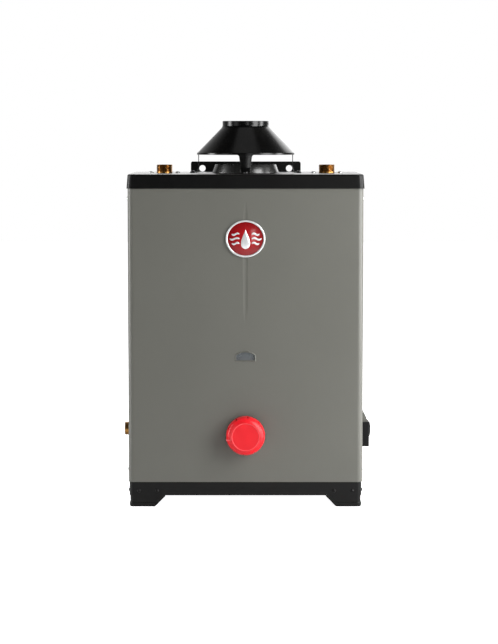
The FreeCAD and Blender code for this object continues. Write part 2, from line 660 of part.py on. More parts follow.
def tank_head(plate_z, flange_z0, flange_z1):
    """Flat head with a flange, welded inside the end of the tank shell and round the flue tube."""
    inset = 2 * (TANK_WALL + WELD_GAP)
    w, d = TANK_W - inset, TANK_D - inset
    plate = prism(w, d, d / 2, plate_z, plate_z + HEAD_T)
    head = fused([plate, ring(w, d, d / 2, HEAD_T, flange_z0, flange_z1)])
    return head.cut(rod(FLUE_R + WELD_GAP, V(0, 0, plate_z - 20), UP, 40))


def tank_top_head():
    """Top head with the two threaded spuds for the water nipples and the hole for the anode."""
    head = tank_head(HEAD_TOP_Z - HEAD_T, HEAD_TOP_Z - HEAD_T, TANK_TOP)
    spuds = [rod(SPUD_R, V(x, 0, HEAD_TOP_Z - 0.5), UP, SPUD_H) for x in (-NIPPLE_X, NIPPLE_X)]
    head = fused([head] + spuds)
    for x in (-NIPPLE_X, NIPPLE_X):
        head = head.cut(rod(NIPPLE_BODY_R + TUBE_FIT, V(x, 0, HEAD_TOP_Z - 20), UP, 60))
    return head.cut(rod(ANODE_R + 1 + TUBE_FIT, V(ANODE_X, ANODE_Y, HEAD_TOP_Z - 20), UP, 60))


def tank_bottom_head():
    plate_z = TANK_BOTTOM + HEAD_FLANGE
    return tank_head(plate_z, TANK_BOTTOM, plate_z + HEAD_T)


def dip_tube():
    """Plastic tube that hangs in the cold nipple and carries the cold water to the tank's floor."""
    top = NIPPLE_TOP - NIPPLE_THREAD_LENGTH - 4
    lip = NIPPLE_BORE_R - TUBE_FIT
    low = TANK_BOTTOM + 35
    return turned([(7.6, top), (lip, top), (lip, top - 3), (8.8, top - 6), (8.8, low), (7.6, low)],
                  V(-NIPPLE_X, 0, 0))


def anode_rod():
    top = HEAD_TOP_Z
    body = rod(ANODE_R, V(ANODE_X, ANODE_Y, TANK_BOTTOM + 30), UP, top - TANK_BOTTOM - 30)
    thread = rod(ANODE_R + 1, V(ANODE_X, ANODE_Y, top - 8), UP, 9)
    corners = hexagon(V(ANODE_X, ANODE_Y, top + 0.1), RIGHT, BACK, 15)
    return fused([body, thread, extruded(corners, V(0, 0, 9))])


def insulation():
    """Glass-wool blanket round the tank and a pad on top of it."""
    inset = 2 * (2 * SHEET + LAP_GAP + INSULATION_GAP)
    w, d = BODY_W - inset, BODY_D - inset
    blanket = prism(w, d, CORNER_R - inset / 2, TANK_BOTTOM + 0.5, TANK_TOP - 3)
    bore_w, bore_d = TANK_W + 2 * INSULATION_GAP, TANK_D + 2 * INSULATION_GAP
    blanket = blanket.cut(prism(bore_w, bore_d, bore_d / 2, TANK_BOTTOM - 1, TANK_TOP))
    blanket = blanket.cut(block(SENSOR_X - 9, SENSOR_X + 9, PANEL_Y, -TANK_D / 2 + 5, 0, SENSOR_Z + 9))
    pad_low = TANK_TOP + INSULATION_GAP
    pad = prism(TANK_W, TANK_D, TANK_D / 2, pad_low, CAP_SKIRT_BOTTOM - 10)
    openings = [(0, 0, FLUE_R + 1), (-NIPPLE_X, 0, SPUD_R + 1), (NIPPLE_X, 0, SPUD_R + 1),
                (ANODE_X, ANODE_Y, 17)]
    for x, y, r in openings:
        pad = pad.cut(rod(r, V(x, y, pad_low - 1), UP, 80))
    return [blanket, pad]


def firebox_skirt():
    """Sheet skirt that stands on the base pan and carries the tank, open at the front and sides."""
    skirt = ring(TANK_W, TANK_D, TANK_D / 2, FIREBOX_SHEET, PAN_TOP, TANK_BOTTOM)
    skirt = skirt.cut(block(-70, 70, PANEL_Y, 0, PAN_TOP + 14, SHIELD_Z - 4))
    skirt = skirt.cut(block(-26, 26, PANEL_Y, 0, SIGHT_Z - 9, SIGHT_Z + SIGHT_H + 8))
    return skirt.cut(block(-TANK_W, TANK_W, INLET_Y - 16, INLET_Y + 16, INLET_Z - 16, INLET_Z + 16))


def thermostat_sensor():
    """Bulb through the tank's front wall, its gland, and the capillary down to the gas valve."""
    wall_y = -TANK_D / 2
    bulb = rod(BULB_R, V(SENSOR_X, wall_y - 4, SENSOR_Z), BACK, 62)
    gland = rod(2 * BULB_R, V(SENSOR_X, wall_y - 7, SENSOR_Z), BACK, 6.9)
    run_y = wall_y - 13
    valve_top = CONTROL_Z + VALVE_H / 2
    end_x, end_y = -VALVE_W / 4, VALVE_Y + 12
    route = [(SENSOR_X, wall_y - 5, SENSOR_Z), (SENSOR_X, run_y, SENSOR_Z),
             (SENSOR_X, run_y, valve_top + 34), (end_x, end_y, valve_top + 22),
             (end_x, end_y, valve_top + 0.1)]
    return fused([bulb, gland, bent_tube(route, 1.2, 5.0)])


# ---- Badge and sight window ------------------------------------------------------------------------
def ellipse_prism(w, h, y0, y1, z):
    """Elliptical plug along Y between two planes."""
    across, major, minor = (RIGHT, w / 2, h / 2)
    curve = Part.Ellipse(V(0, y1, z) + across * major, V(0, y1, z + minor), V(0, y1, z))
    return Part.Face(Part.Wire(curve.toShape())).extrude(V(0, y0 - y1, 0))


def badge_rim():
    rim = ellipse_prism(BADGE_W, BADGE_H, PANEL_Y - BADGE_T, PANEL_Y, BADGE_Z)
    outer = [e for e in rim.Edges if abs(e.BoundBox.YLength) < 1e-6 and e.BoundBox.YMax < PANEL_Y - 1]
    rim = rim.makeFillet(1.1, outer)
    inner_w, inner_h = BADGE_W - 2 * BADGE_RIM, BADGE_H - 2 * BADGE_RIM
    return rim.cut(ellipse_prism(inner_w, inner_h, PANEL_Y - BADGE_T - 1, PANEL_Y - 1.2, BADGE_Z))


def badge_dome():
    """Shallow dome inside the rim: a round cap stretched to the badge's oval."""
    r = BADGE_H / 2 - BADGE_RIM - BADGE_FIT
    stretch = (BADGE_W / 2 - BADGE_RIM - BADGE_FIT) / r
    seat, edge = 1.25, 2.0
    arc = ((0.55 * r, edge + 0.7 * BADGE_DOME), (r, edge))
    cap = turned([(0, edge + BADGE_DOME), arc, (r, seat), (0, seat)], V(0, PANEL_Y, 0), FRONT)
    matrix = FreeCAD.Matrix()
    matrix.scale(stretch, 1, 1)
    cap = cap.transformGeometry(matrix)
    cap.translate(V(0, 0, BADGE_Z))
    return cap


def sight_bezel():
    frame = sight_profile(0, PANEL_Y - SIGHT_PROUD).extrude(V(0, SIGHT_PROUD, 0))
    neck = sight_profile(-SIGHT_RIM / 2 - 0.1, PANEL_Y - 0.5).extrude(V(0, SHEET + 0.5, 0))
    return fused([frame, neck]).cut(sight_profile(-SIGHT_RIM, PANEL_Y - 5).extrude(V(0, 10, 0)))


def sight_glass():
    back = PANEL_Y + SHEET
    return sight_profile(2.0, back + 0.05).extrude(V(0, SIGHT_GLASS_T, 0))


# ---- Control ---------------------------------------------------------------------------------------
def d_shaft(r, flat, y0, y1):
    """Round shaft along Y with one flat, facing +X."""
    shaft = rod(r, V(0, y0, CONTROL_Z), BACK, y1 - y0)
    return shaft.cut(block(flat, r + 1, y0 - 1, y1 + 1, CONTROL_Z - r - 1, CONTROL_Z + r + 1))


def stem_span():
    """Front and rear ends of the valve stem: in the knob's hub and inside the plug."""
    rear = NOSE_Y + PLUG_LENGTH - KNOB_TRAVEL
    return PANEL_Y - KNOB_PROUD + 6, rear


def valve_stem():
    front, rear = stem_span()
    return d_shaft(STEM_R, STEM_FLAT, front, rear)


def knob_angle_vector(degrees, radius):
    """Point on a circle round the knob's axis, seen from the front."""
    a = math.radians(degrees)
    return V(radius * math.cos(a), 0, radius * math.sin(a))


def control_knob():
    face_in = KNOB_PROUD - KNOB_WALL - 0.6
    inner_r = KNOB_R - KNOB_WALL
    slope_top = KNOB_PROUD - 2.6
    shoulder = ((KNOB_FACE_R + 5.6, (KNOB_SHOULDER + slope_top) / 2 + 1.6), (KNOB_FACE_R + 1.2, slope_top))
    profile = [(0, KNOB_HUB_BACK), (KNOB_HUB_R, KNOB_HUB_BACK), (KNOB_HUB_R, face_in),
               (KNOB_FACE_R - KNOB_WALL, face_in), (inner_r, KNOB_SHOULDER), (inner_r, KNOB_BACK),
               (KNOB_R - 0.6, KNOB_BACK), (KNOB_R, KNOB_BACK + 0.6), (KNOB_R, KNOB_SHOULDER), shoulder,
               (KNOB_FACE_R, KNOB_PROUD), (KNOB_FACE_R - 1.6, KNOB_PROUD),
               (KNOB_FACE_R - 2.1, KNOB_PROUD - 0.6), (0, KNOB_PROUD - 0.6)]
    centre = V(0, PANEL_Y, CONTROL_Z)
    knob = turned(profile, centre, FRONT)
    for number in range(1, KNOB_NOTCHES):
        angle = KNOB_INDEX_DEG - 360 * number / KNOB_NOTCHES
        at = centre + knob_angle_vector(angle, KNOB_R - 0.2) + V(0, -KNOB_SHOULDER + 3, 0)
        knob = knob.cut(rod(KNOB_NOTCH_R, at, FRONT, 9))
    low_r, high_r = KNOB_R - 0.6, KNOB_FACE_R + 1.6
    rise = 1.1
    index = extruded([V(high_r, -slope_top + 2, -1.5), V(low_r, -KNOB_SHOULDER, -1.5),
                      V(low_r + rise, -KNOB_SHOULDER - rise, -1.5),
                      V(high_r + rise, -slope_top - rise * 0.4, -1.5)], V(0, 0, 3))
    index.rotate(V(0, 0, 0), FRONT, KNOB_INDEX_DEG)
    index.translate(centre)
    knob = fused([knob, index])
    front, _ = stem_span()
    return knob.cut(d_shaft(STEM_R + RUNNING_GAP, STEM_FLAT + RUNNING_GAP, front - 0.5, PANEL_Y))


def knob_spring():
    length = PANEL_Y - KNOB_HUB_BACK - BONNET_Y
    return coil_spring(V(0, BONNET_Y - 0.1, CONTROL_Z), FRONT, KNOB_SPRING_R,
                       -length - 0.2, SPRING_TURNS)


def cock_plug():
    """Turning plug with a cross port; the stem drives it through its D-shaped bore and slides in it."""
    y0, y1 = NOSE_Y + PLUG_END_GAP, NOSE_Y + PLUG_LENGTH
    plug = rod(PLUG_R - RUNNING_GAP, V(0, y0, CONTROL_Z), BACK, y1 - y0)
    plug = plug.cut(d_shaft(STEM_R + RUNNING_GAP, STEM_FLAT + RUNNING_GAP, y0 - 1, y1 + 1))
    return plug.cut(rod(3.0, V(-PLUG_R - 1, y1 - 7, CONTROL_Z + 5.5), RIGHT, 2 * PLUG_R + 2))


def valve_body():
    low, high = CONTROL_Z - VALVE_H / 2, CONTROL_Z + VALVE_H / 2
    body = block(-VALVE_W / 2, VALVE_W / 2, VALVE_Y, VALVE_Y + VALVE_D, low, high)
    body = body.makeFillet(3.0, body.Edges)
    nose = rod(VALVE_NOSE_R, V(0, NOSE_Y, CONTROL_Z), BACK, VALVE_NOSE_L + 5)
    inlet = rod(TUBE_R + 4, V(-VALVE_W / 2 + 5, INLET_Y, INLET_Z), LEFT, 15)
    outlet = rod(TUBE_R + 4, V(0, VALVE_Y + VALVE_D - 5, CONTROL_Z), BACK, 13)
    body = fused([body, nose, inlet, outlet])
    body = body.cut(rod(PLUG_R, V(0, NOSE_Y - 1, CONTROL_Z), BACK, PLUG_LENGTH + 2))
    body = body.cut(rod(TUBE_R + TUBE_FIT, V(-VALVE_W / 2 - 2, INLET_Y, INLET_Z), LEFT, 20))
    body = body.cut(rod(TUBE_R + TUBE_FIT, V(0, VALVE_Y + VALVE_D + 2, CONTROL_Z), BACK, 20))
    for x, z in bonnet_screw_places():
        body = body.cut(rod(1.4 + TUBE_FIT, V(x, NOSE_Y - 1, z), BACK, 8))
    return body


def bonnet_screw_places():
    reach = (PLUG_R + VALVE_NOSE_R) / 2
    return [(-reach, CONTROL_Z), (reach, CONTROL_Z)]


def bonnet_screws():
    return [screw(V(x, BONNET_Y, z), FRONT, 7.0, 2.8, 1.8, 1.4) for x, z in bonnet_screw_places()]


def valve_bonnet():
    bonnet = rod(VALVE_NOSE_R, V(0, BONNET_Y, CONTROL_Z), BACK, BONNET_T)
    bonnet = bonnet.cut(rod(STEM_R + 0.5, V(0, BONNET_Y - 1, CONTROL_Z), BACK, 10))
    for x, z in bonnet_screw_places():
        bonnet = bonnet.cut(rod(1.4 + TUBE_FIT, V(x, BONNET_Y - 1, z), BACK, 8))
    return bonnet


# ---- Gas train -------------------------------------------------------------------------------------
def gas_inlet_fitting():
    """Brass union: pipe thread outside the casing, flange behind the sheet, socket for the supply tube."""
    socket = TUBE_R + TUBE_FIT
    flange = SHEET + 0.1
    return turned([(7, INLET_PROUD), (INLET_R, INLET_PROUD), (INLET_R, 0.5), (INLET_NECK_R, 0.5),
                   (INLET_NECK_R, -flange), (INLET_FLANGE_R, -flange), (INLET_FLANGE_R, -flange - 5),
                   (8.5, -flange - 5), (8.5, -18),
                   (socket, -18), (socket, -10), (TUBE_BORE_R, -10), (TUBE_BORE_R, -4), (7, -4)],
                  V(-SIDE_X, INLET_Y, INLET_Z), LEFT)


def gas_supply_tube():
    x0 = -SIDE_X + 10.1
    x1 = -VALVE_W / 2 - 2.1
    return rod(TUBE_R, V(x0, INLET_Y, INLET_Z), RIGHT, x1 - x0).cut(
        rod(TUBE_BORE_R, V(x0 - 1, INLET_Y, INLET_Z), RIGHT, BODY_W))


def manifold_end():
    return VENTURI_BOTTOM - 10


def manifold_tube():
    start = VALVE_Y + VALVE_D + 2.1
    return bent_tube([(0, start, CONTROL_Z), (0, 0, CONTROL_Z), (0, 0, manifold_end())], TUBE_R,
                     manifold_end() - CONTROL_Z - 1, TUBE_BORE_R)


def burner_jet():
    """Brass orifice screwed on the end of the manifold, pointing up into the venturi."""
    low = manifold_end() + 0.1
    tip = turned([(0, low + 7), (5, low + 7), (2.5, low + 14), (0, low + 14)])
    jet = fused([extruded(hexagon(V(0, 0, low), RIGHT, BACK, 9), V(0, 0, 8)), tip])
    return jet.cut(rod(0.9, V(0, 0, low - 1), UP, 30))


def venturi_tube():
    """Mixing tube with a bell mouth below and the burner on its upper end."""
    r, t, z = VENTURI_R, VENTURI_WALL, VENTURI_BOTTOM
    bell = ((r + 1.2, z + 4.5), (r, z + 11))
    inner = ((r - t + 1.2, z + 5), (r - t + 5.5, z))
    top = BURNER_BOTTOM + 8
    return turned([(r + 6, z), bell, (r, top), (r - t, top), (r - t, z + 11), inner])


def burner_head():
    """Drum burner: a pan with a ring of ports in its top."""
    low, high, r = BURNER_BOTTOM, BURNER_TOP, BURNER_R
    seat = VENTURI_R + TUBE_FIT
    drum = turned([(seat, low), (r - 12, low), (r, high - 9), (r, high), (0, high + 3), (0, high),
                   (r - 2.5, high - 2.2), (r - 2.5, high - 8), (r - 13, low + 2.5), (seat, low + 2.5)])
    for radius, count in ((r - 10, 20), (r - 20, 14), (r - 30, 9)):
        for number in range(count):
            at = V(radius, 0, high - 4)
            port = rod(1.8, at, UP, 12)
            port.rotate(V(0, 0, 0), UP, 360 * number / count)
            drum = drum.cut(port)
    return drum


def burner_bracket():
    """Strap across the heat shield that carries the burner."""
    top = BURNER_BOTTOM
    half = BURNER_R + 14
    width = VENTURI_R + 6
    bar = block(-half, half, -width, width, top - 2, top)
    legs = [block(x - 1, x + 1, -width, width, SHIELD_Z, top) for x in (-half + 1, half - 1)]
    return fused([bar] + legs).cut(rod(VENTURI_R + TUBE_FIT, V(0, 0, SHIELD_Z), UP, 30))


def heat_shield():
    """Tray that keeps the burner's heat away from the valve; it hangs on the firebox skirt."""
    inset = 2 * (FIREBOX_SHEET + LAP_GAP)
    w, d = TANK_W - inset, TANK_D - inset
    below, above = SHIELD_Z - 5, SHIELD_Z + 5
    rim = ring(w, d, d / 2, 1.0, SHIELD_Z - 1, SHIELD_Z + 10)
    plate = fused([prism(w, d, d / 2, SHIELD_Z - 1, SHIELD_Z), rim])
    plate = plate.cut(rod(VENTURI_R + 2, V(0, 0, below), UP, 10))
    reach = 1.5 * PILOT_PITCH + 3
    return plate.cut(block(PILOT_X - reach, PILOT_X + reach, PILOT_Y - 6, PILOT_Y + 6, below, above))


def pilot_burner():
    top = BURNER_TOP + 2
    profile = [(1.2, top - 20), (4, top - 20), (4, top - 4), (5, top - 2), (5, top), (3, top),
               (3, top - 10), (1.2, top - 12)]
    return turned(profile, V(PILOT_X, PILOT_Y, 0))


def riser(x, low_x, start_y, radius):
    """Thin line from the top of the gas valve up through the heat shield to the pilot group."""
    z0 = CONTROL_Z + VALVE_H / 2 + 0.1
    return bent_tube([(low_x, start_y, z0), (low_x, start_y, z0 + 11), (x, PILOT_Y, z0 + 24),
                      (x, PILOT_Y, BURNER_TOP - 18.1)], radius, 4.0)


def pilot_tube():
    return riser(PILOT_X, 18.0, VALVE_Y + 30, 1.6)


def thermocouple():
    x = PILOT_X + PILOT_PITCH
    tip = rod(2.2, V(x, PILOT_Y, BURNER_TOP - 19), UP, 22)
    return fused([riser(x, 26.0, VALVE_Y + 40, 1.2), tip])


def spark_electrode():
    x = PILOT_X - PILOT_PITCH
    ceramic = rod(2.8, V(x, PILOT_Y, BURNER_TOP - 24), UP, 18)
    wire = rod(0.9, V(x, PILOT_Y, BURNER_TOP - 7), UP, 12)
    return fused([ceramic, wire])


def spark_lead():
    """Insulated lead from the piezo unit to the electrode, through the firebox skirt's side opening."""
    x = PILOT_X - PILOT_PITCH
    bottom = BURNER_TOP - 24.1
    aside = PILOT_Y - 15
    return bent_tube([(SIDE_X - 28.1, INLET_Y, BUTTON_Z), (TANK_W / 2 - 35, INLET_Y, BUTTON_Z),
                      (TANK_W / 2 - 75, aside, SHIELD_Z - 24), (x, aside, SHIELD_Z - 18),
                      (x, PILOT_Y, SHIELD_Z - 3), (x, PILOT_Y, bottom)], 1.6, 6.0)


# ---- Igniter ---------------------------------------------------------------------------------------
def igniter_place():
    return V(SIDE_X, INLET_Y, BUTTON_Z)


def igniter_housing():
    half, t = IGNITER_W / 2, IGNITER_WALL
    z0, z1 = IGNITER_Z0, IGNITER_Z1
    box = block(SIDE_X, SIDE_X + IGNITER_PROUD, INLET_Y - half, INLET_Y + half, z0, z1)
    outer = [e for e in box.Edges if e.BoundBox.XMin > SIDE_X + 1]
    box = box.makeFillet(1.2, outer)
    box = box.cut(block(SIDE_X - 1, SIDE_X + IGNITER_PROUD - t, INLET_Y - half + t, INLET_Y + half - t,
                        z0 + t, z1 - 0.7))
    return box.cut(rod(BUTTON_R + BUTTON_GAP, igniter_place(), RIGHT, 30))


def igniter_canopy():
    """Sloped sheet scoop above the housing that sheds water."""
    low, high, t = IGNITER_Z1 + 0.1, CANOPY_TOP_Z, SHEET
    half = CANOPY_W / 2

    def wedge(grow, reach):
        x0 = SIDE_X - (1 if grow else 0)
        x_low, x_high = SIDE_X + CANOPY_PROUD_BOTTOM - grow, SIDE_X + CANOPY_PROUD_TOP - grow
        z_low = low - (1 if grow else 0)
        z_high = high - grow
        corners = [(x0, z_low), (x_low, z_low), (x_high, z_high), (x0, z_high)]
        return extruded([V(x, INLET_Y - reach, z) for x, z in corners], V(0, 2 * reach, 0))

    return wedge(0, half).cut(wedge(t, half - t))


def igniter_button():
    h = BUTTON_PROUD
    crown = ((0.55 * BUTTON_R, h - 0.35), (BUTTON_R - 0.5, h - 1.4))
    profile = [(0, h), crown, (BUTTON_R, h - 2.0), (BUTTON_R, h - 7.2), (BUTTON_R - 1.8, h - 7.2),
               (BUTTON_R - 1.8, h - 3.4), (STEM_R, h - 3.4), (STEM_R, -BUTTON_STEM), (0, -BUTTON_STEM)]
    return turned(profile, igniter_place(), RIGHT)


def piezo_unit():
    bore, end = STEM_R + RUNNING_GAP, -BUTTON_STEM - 3 * BUTTON_TRAVEL
    r = PIEZO_R
    profile = [(bore, 4), (r, 4), (r, 2.2), (r + 3, 2.2), (r + 3, 0.1), (r, 0.1), (r, -28), (0, -28),
               (0, end), (bore, end)]
    return turned(profile, igniter_place(), RIGHT)


def igniter_nut():
    place = V(SIDE_X - SHEET - 0.1, INLET_Y, BUTTON_Z)
    corners = hexagon(place, BACK, UP, PIEZO_R + 5)
    return extruded(corners, V(-5, 0, 0)).cut(rod(PIEZO_R + TUBE_FIT, place + V(1, 0, 0), LEFT, 10))


def igniter_spring():
    seat, under = 4.0, BUTTON_PROUD - 3.4
    return coil_spring(igniter_place() + V(seat + 0.1, 0, 0), RIGHT, BUTTON_SPRING_R,
                       under - seat - 0.2, BUTTON_SPRING_TURNS)


def parts():
    """Every piece by its name."""
    made = {
        "front_cover": front_cover(),
        "rear_wrapper": rear_wrapper(),
        "top_cover": top_cover(),
        "base_pan": base_pan(),
        "foot_rivets": [rivet(at, axis) for at, axis in rivet_places()],
        "flue_collar": flue_collar(),
        "draft_hood": draft_hood(),
        "hood_legs": [hood_leg(angle) for angle in (0, 90, 180, 270)],
        "cover_screws": cover_screws(),
        "wall_bracket": wall_bracket(),
        "bracket_screws": [screw(V(x, REAR_Y + BRACKET_T, z), BACK) for x, z in bracket_screw_places()],
        "side_screws": [screw(V(side.x * SIDE_X, y, z), side) for side, y, z in side_screw_places()],
        "cold_nipple": water_nipple(-NIPPLE_X),
        "hot_nipple": water_nipple(NIPPLE_X),
        "nipple_plates": [nipple_plate(-NIPPLE_X), nipple_plate(NIPPLE_X)],
        "badge_rim": badge_rim(),
        "badge_dome": badge_dome(),
        "sight_bezel": sight_bezel(),
        "sight_glass": sight_glass(),
        "control_knob": control_knob(),
        "valve_stem": valve_stem(),
        "knob_spring": knob_spring(),
        "cock_plug": cock_plug(),
        "valve_body": valve_body(),
        "valve_bonnet": valve_bonnet(),
        "bonnet_screws": bonnet_screws(),
        "gas_inlet_fitting": gas_inlet_fitting(),
        "gas_supply_tube": gas_supply_tube(),
        "manifold_tube": manifold_tube(),
        "burner_jet": burner_jet(),
        "venturi_tube": venturi_tube(),
        "burner_head": burner_head(),
        "burner_bracket": burner_bracket(),
        "heat_shield": heat_shield(),
        "pilot_burner": pilot_burner(),
        "pilot_tube": pilot_tube(),
        "thermocouple": thermocouple(),
        "spark_electrode": spark_electrode(),
        "spark_lead": spark_lead(),
        "igniter_housing": igniter_housing(),
        "igniter_canopy": igniter_canopy(),
        "igniter_button": igniter_button(),
        "igniter_spring": igniter_spring(),
        "piezo_unit": piezo_unit(),
        "igniter_nut": igniter_nut(),
        "tank_shell": tank_shell(),
        "tank_top_head": tank_top_head(),
        "tank_bottom_head": tank_bottom_head(),
        "flue_tube": flue_tube(),
        "flue_baffle": flue_baffle(),
        "dip_tube": dip_tube(),
        "anode_rod": anode_rod(),
        "insulation": insulation(),
        "firebox_skirt": firebox_skirt(),
        "thermostat_sensor": thermostat_sensor(),
    }
    for sx, side in ((-1, "left"), (1, "right")):
        for sy, end in ((-1, "front"), (1, "rear")):
            made[f"foot_{end}_{side}"] = foot(sx, sy)
    return made


os.makedirs("parts", exist_ok=True)
for name, shape in parts().items():
    whole = Part.Compound(shape) if isinstance(shape, list) else shape
    whole.translate(V(0, ORIGIN_SHIFT_Y, 0))
    whole.exportStep(f"parts/{name}.step")
    box = whole.BoundBox
    print(f"{name:20s} solids {len(whole.Solids):2d} valid {whole.isValid()} volume {whole.Volume:12.1f} "
          f"x {box.XMin:7.1f} {box.XMax:7.1f} y {box.YMin:7.1f} {box.YMax:7.1f} "
          f"z {box.ZMin:6.1f} {box.ZMax:6.1f}")
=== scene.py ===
import json
from math import pi, radians, tau

import bmesh
import bpy
import numpy as np
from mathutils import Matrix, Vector


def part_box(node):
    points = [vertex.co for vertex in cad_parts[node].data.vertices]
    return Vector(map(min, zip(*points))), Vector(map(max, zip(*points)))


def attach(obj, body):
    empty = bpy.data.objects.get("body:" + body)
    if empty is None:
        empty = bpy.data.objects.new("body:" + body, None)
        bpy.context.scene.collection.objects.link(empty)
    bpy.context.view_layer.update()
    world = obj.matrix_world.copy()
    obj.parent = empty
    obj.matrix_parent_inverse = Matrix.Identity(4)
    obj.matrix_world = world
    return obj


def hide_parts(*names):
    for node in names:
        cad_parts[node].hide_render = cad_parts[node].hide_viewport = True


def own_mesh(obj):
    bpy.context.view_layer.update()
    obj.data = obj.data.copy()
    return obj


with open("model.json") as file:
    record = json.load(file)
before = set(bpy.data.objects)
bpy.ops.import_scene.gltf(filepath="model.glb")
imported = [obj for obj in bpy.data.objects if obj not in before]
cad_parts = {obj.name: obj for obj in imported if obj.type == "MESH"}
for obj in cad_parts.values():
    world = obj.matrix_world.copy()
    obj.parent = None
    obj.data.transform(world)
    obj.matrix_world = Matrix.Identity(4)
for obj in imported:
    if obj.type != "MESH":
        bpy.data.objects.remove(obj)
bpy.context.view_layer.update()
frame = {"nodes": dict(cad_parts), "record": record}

bl_info = {
    "name": "Tank Water Heater",
    "version": (1, 0, 0),
    "blender": (4, 5, 0),
    "location": "3D View > Sidebar > Water Heater",
    "description": "Builds the visible pieces, finishes and stage of a gas water heater round its frame",
    "category": "Object",
}

SLOTS = {part["node"]: part["material_slot"] for part in frame["record"]["subparts"]}
MM = 0.001
WELD = 0.002 * MM          # points closer than this are one
CREASE = radians(34)       # edges sharper than this are shaded sharp

# Which way a piece's own axis points: rows are where its x, y and z go.
UP = np.array([[1, 0, 0], [0, 1, 0], [0, 0, 1]], float)
FRONT = np.array([[1, 0, 0], [0, 0, 1], [0, -1, 0]], float)
BACK = np.array([[-1, 0, 0], [0, 0, 1], [0, 1, 0]], float)
LEFT = np.array([[0, -1, 0], [0, 0, 1], [-1, 0, 0]], float)
RIGHT = np.array([[0, 1, 0], [0, 0, 1], [1, 0, 0]], float)


def node_middle(node):
    """Centre of a frame node's box."""
    low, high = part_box(node)
    return (low + high) / 2


PANEL_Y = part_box("front_cover")[0].y
FLUE = np.array([0.0, node_middle("draft_hood").y, 0.0])
KNOB_Z = node_middle("control_knob").z
BADGE_Z = node_middle("badge_rim").z
INLET_Z = node_middle("gas_inlet_fitting").z
SIDE_Y = node_middle("gas_inlet_fitting").y
CAP_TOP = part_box("top_cover")[1].z
SIDE_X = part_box("front_cover")[1].x
HEATER_MIDDLE = Vector((0, 0, 0.33))
INDEX_ANGLE = radians(191)    # where the knob's index bar points, from the right


def paint_colour(code):
    """Linear colour of a six-digit screen colour code."""
    screen = np.array([int(code[i:i + 2], 16) for i in (0, 2, 4)]) / 255
    return tuple(np.where(screen <= 0.04045, screen / 12.92, ((screen + 0.055) / 1.055) ** 2.4))


# ---- Surfaces --------------------------------------------------------------------------------------
def unit(vectors):
    """Each vector divided by its length; a zero vector stays zero."""
    length = np.linalg.norm(vectors, axis=-1, keepdims=True)
    return vectors / np.where(length > 1e-12, length, 1)


def ease(value, low, high):
    """Smooth step: 3t^2 - 2t^3 as t runs from 0 at low to 1 at high."""
    t = np.clip((value - low) / (high - low), 0, 1)
    return t * t * (3 - 2 * t)


def eased(corners, radii, steps=5, closed=False):
    """Line through corners with each one rounded.

    An arc of the given radius touches both sides at radius / tan(half the corner's angle) from the corner,
    and its centre lies radius / sin(half the angle) along the bisector.
    """
    corners = np.asarray(corners, float)
    radii = np.broadcast_to(np.asarray(radii, float), len(corners)).copy()
    if not closed:
        radii[[0, -1]] = 0
    before = unit(np.roll(corners, 1, 0) - corners)
    after = unit(np.roll(corners, -1, 0) - corners)
    half = np.arccos(np.clip((before * after).sum(1), -1, 1)) / 2
    half = np.maximum(half, 0.02)[:, None]
    radii = radii[:, None]
    centre = corners + unit(before + after) * radii / np.sin(half)
    start = corners + before * radii / np.tan(half) - centre
    end = corners + after * radii / np.tan(half) - centre
    t = np.linspace(0, 1, steps + 1)[None, :, None]
    arcs = centre[:, None] + radii[:, None] * unit(start[:, None] * (1 - t) + end[:, None] * t)
    points = arcs.reshape(-1, 2)
    return np.vstack([points, points[:1]]) if closed else points


def spaced(line, step):
    """The same line with points added, so that none is further than step from the next."""
    gaps = np.linalg.norm(np.diff(line, axis=0), axis=1)
    far = np.concatenate([[0], np.cumsum(gaps)])
    marks = np.unique(np.concatenate([far, np.arange(0, far[-1], step)]))
    return np.stack([np.interp(marks, far, line[:, i]) for i in range(line.shape[1])], axis=1)


def turned(profile, centre, sides):
    """Profile of (radius, height) swept round an upright axis: x = r cos a, y = r sin a, z = height."""
    angle = np.linspace(0, tau, sides + 1)[None, :]
    r, h = profile[:, 0, None], profile[:, 1, None]
    return np.stack([r * np.cos(angle), r * np.sin(angle), h + 0 * angle], axis=-1) + centre


def carried(outline, profile, centre, facing=FRONT):
    """Profile of (inset, height) carried round a closed outline.

    Each point is the outline's, less its outward normal times the inset.
    """
    ahead = np.roll(outline[:-1], -1, 0) - np.roll(outline[:-1], 1, 0)
    normal = unit(np.stack([ahead[:, 1], -ahead[:, 0]], axis=1))
    normal = np.vstack([normal, normal[:1]])
    inset, height = profile[:, 0, None, None], profile[:, 1, None]
    flat = outline[None] - normal[None] * inset
    points = np.concatenate([flat, np.broadcast_to(height[..., None], flat.shape[:2] + (1,))], axis=-1)
    return points @ facing + centre


def wound(turns, coil_radius, wire_radius, length, centre, facing, steps=40, sides=12):
    """Round wire along a helix.

    The middle of the wire is (R cos a, R sin a, rise * a); the wire is a circle of radius w in the plane of
    the outward and the upward direction, and both ends close onto the middle.
    """
    angle = np.pad(np.linspace(0, tau * turns, steps * turns + 1), 1, mode="edge")[:, None]
    around = np.linspace(0, tau, sides + 1)[None, :]
    size = np.full_like(angle, wire_radius)
    size[[0, -1]] = 0
    r = coil_radius + size * np.cos(around)
    rise = wire_radius + (length - 2 * wire_radius) * angle / (tau * turns)
    points = np.stack([r * np.cos(angle), r * np.sin(angle), rise + size * np.sin(around)], axis=-1)
    return points @ facing + centre


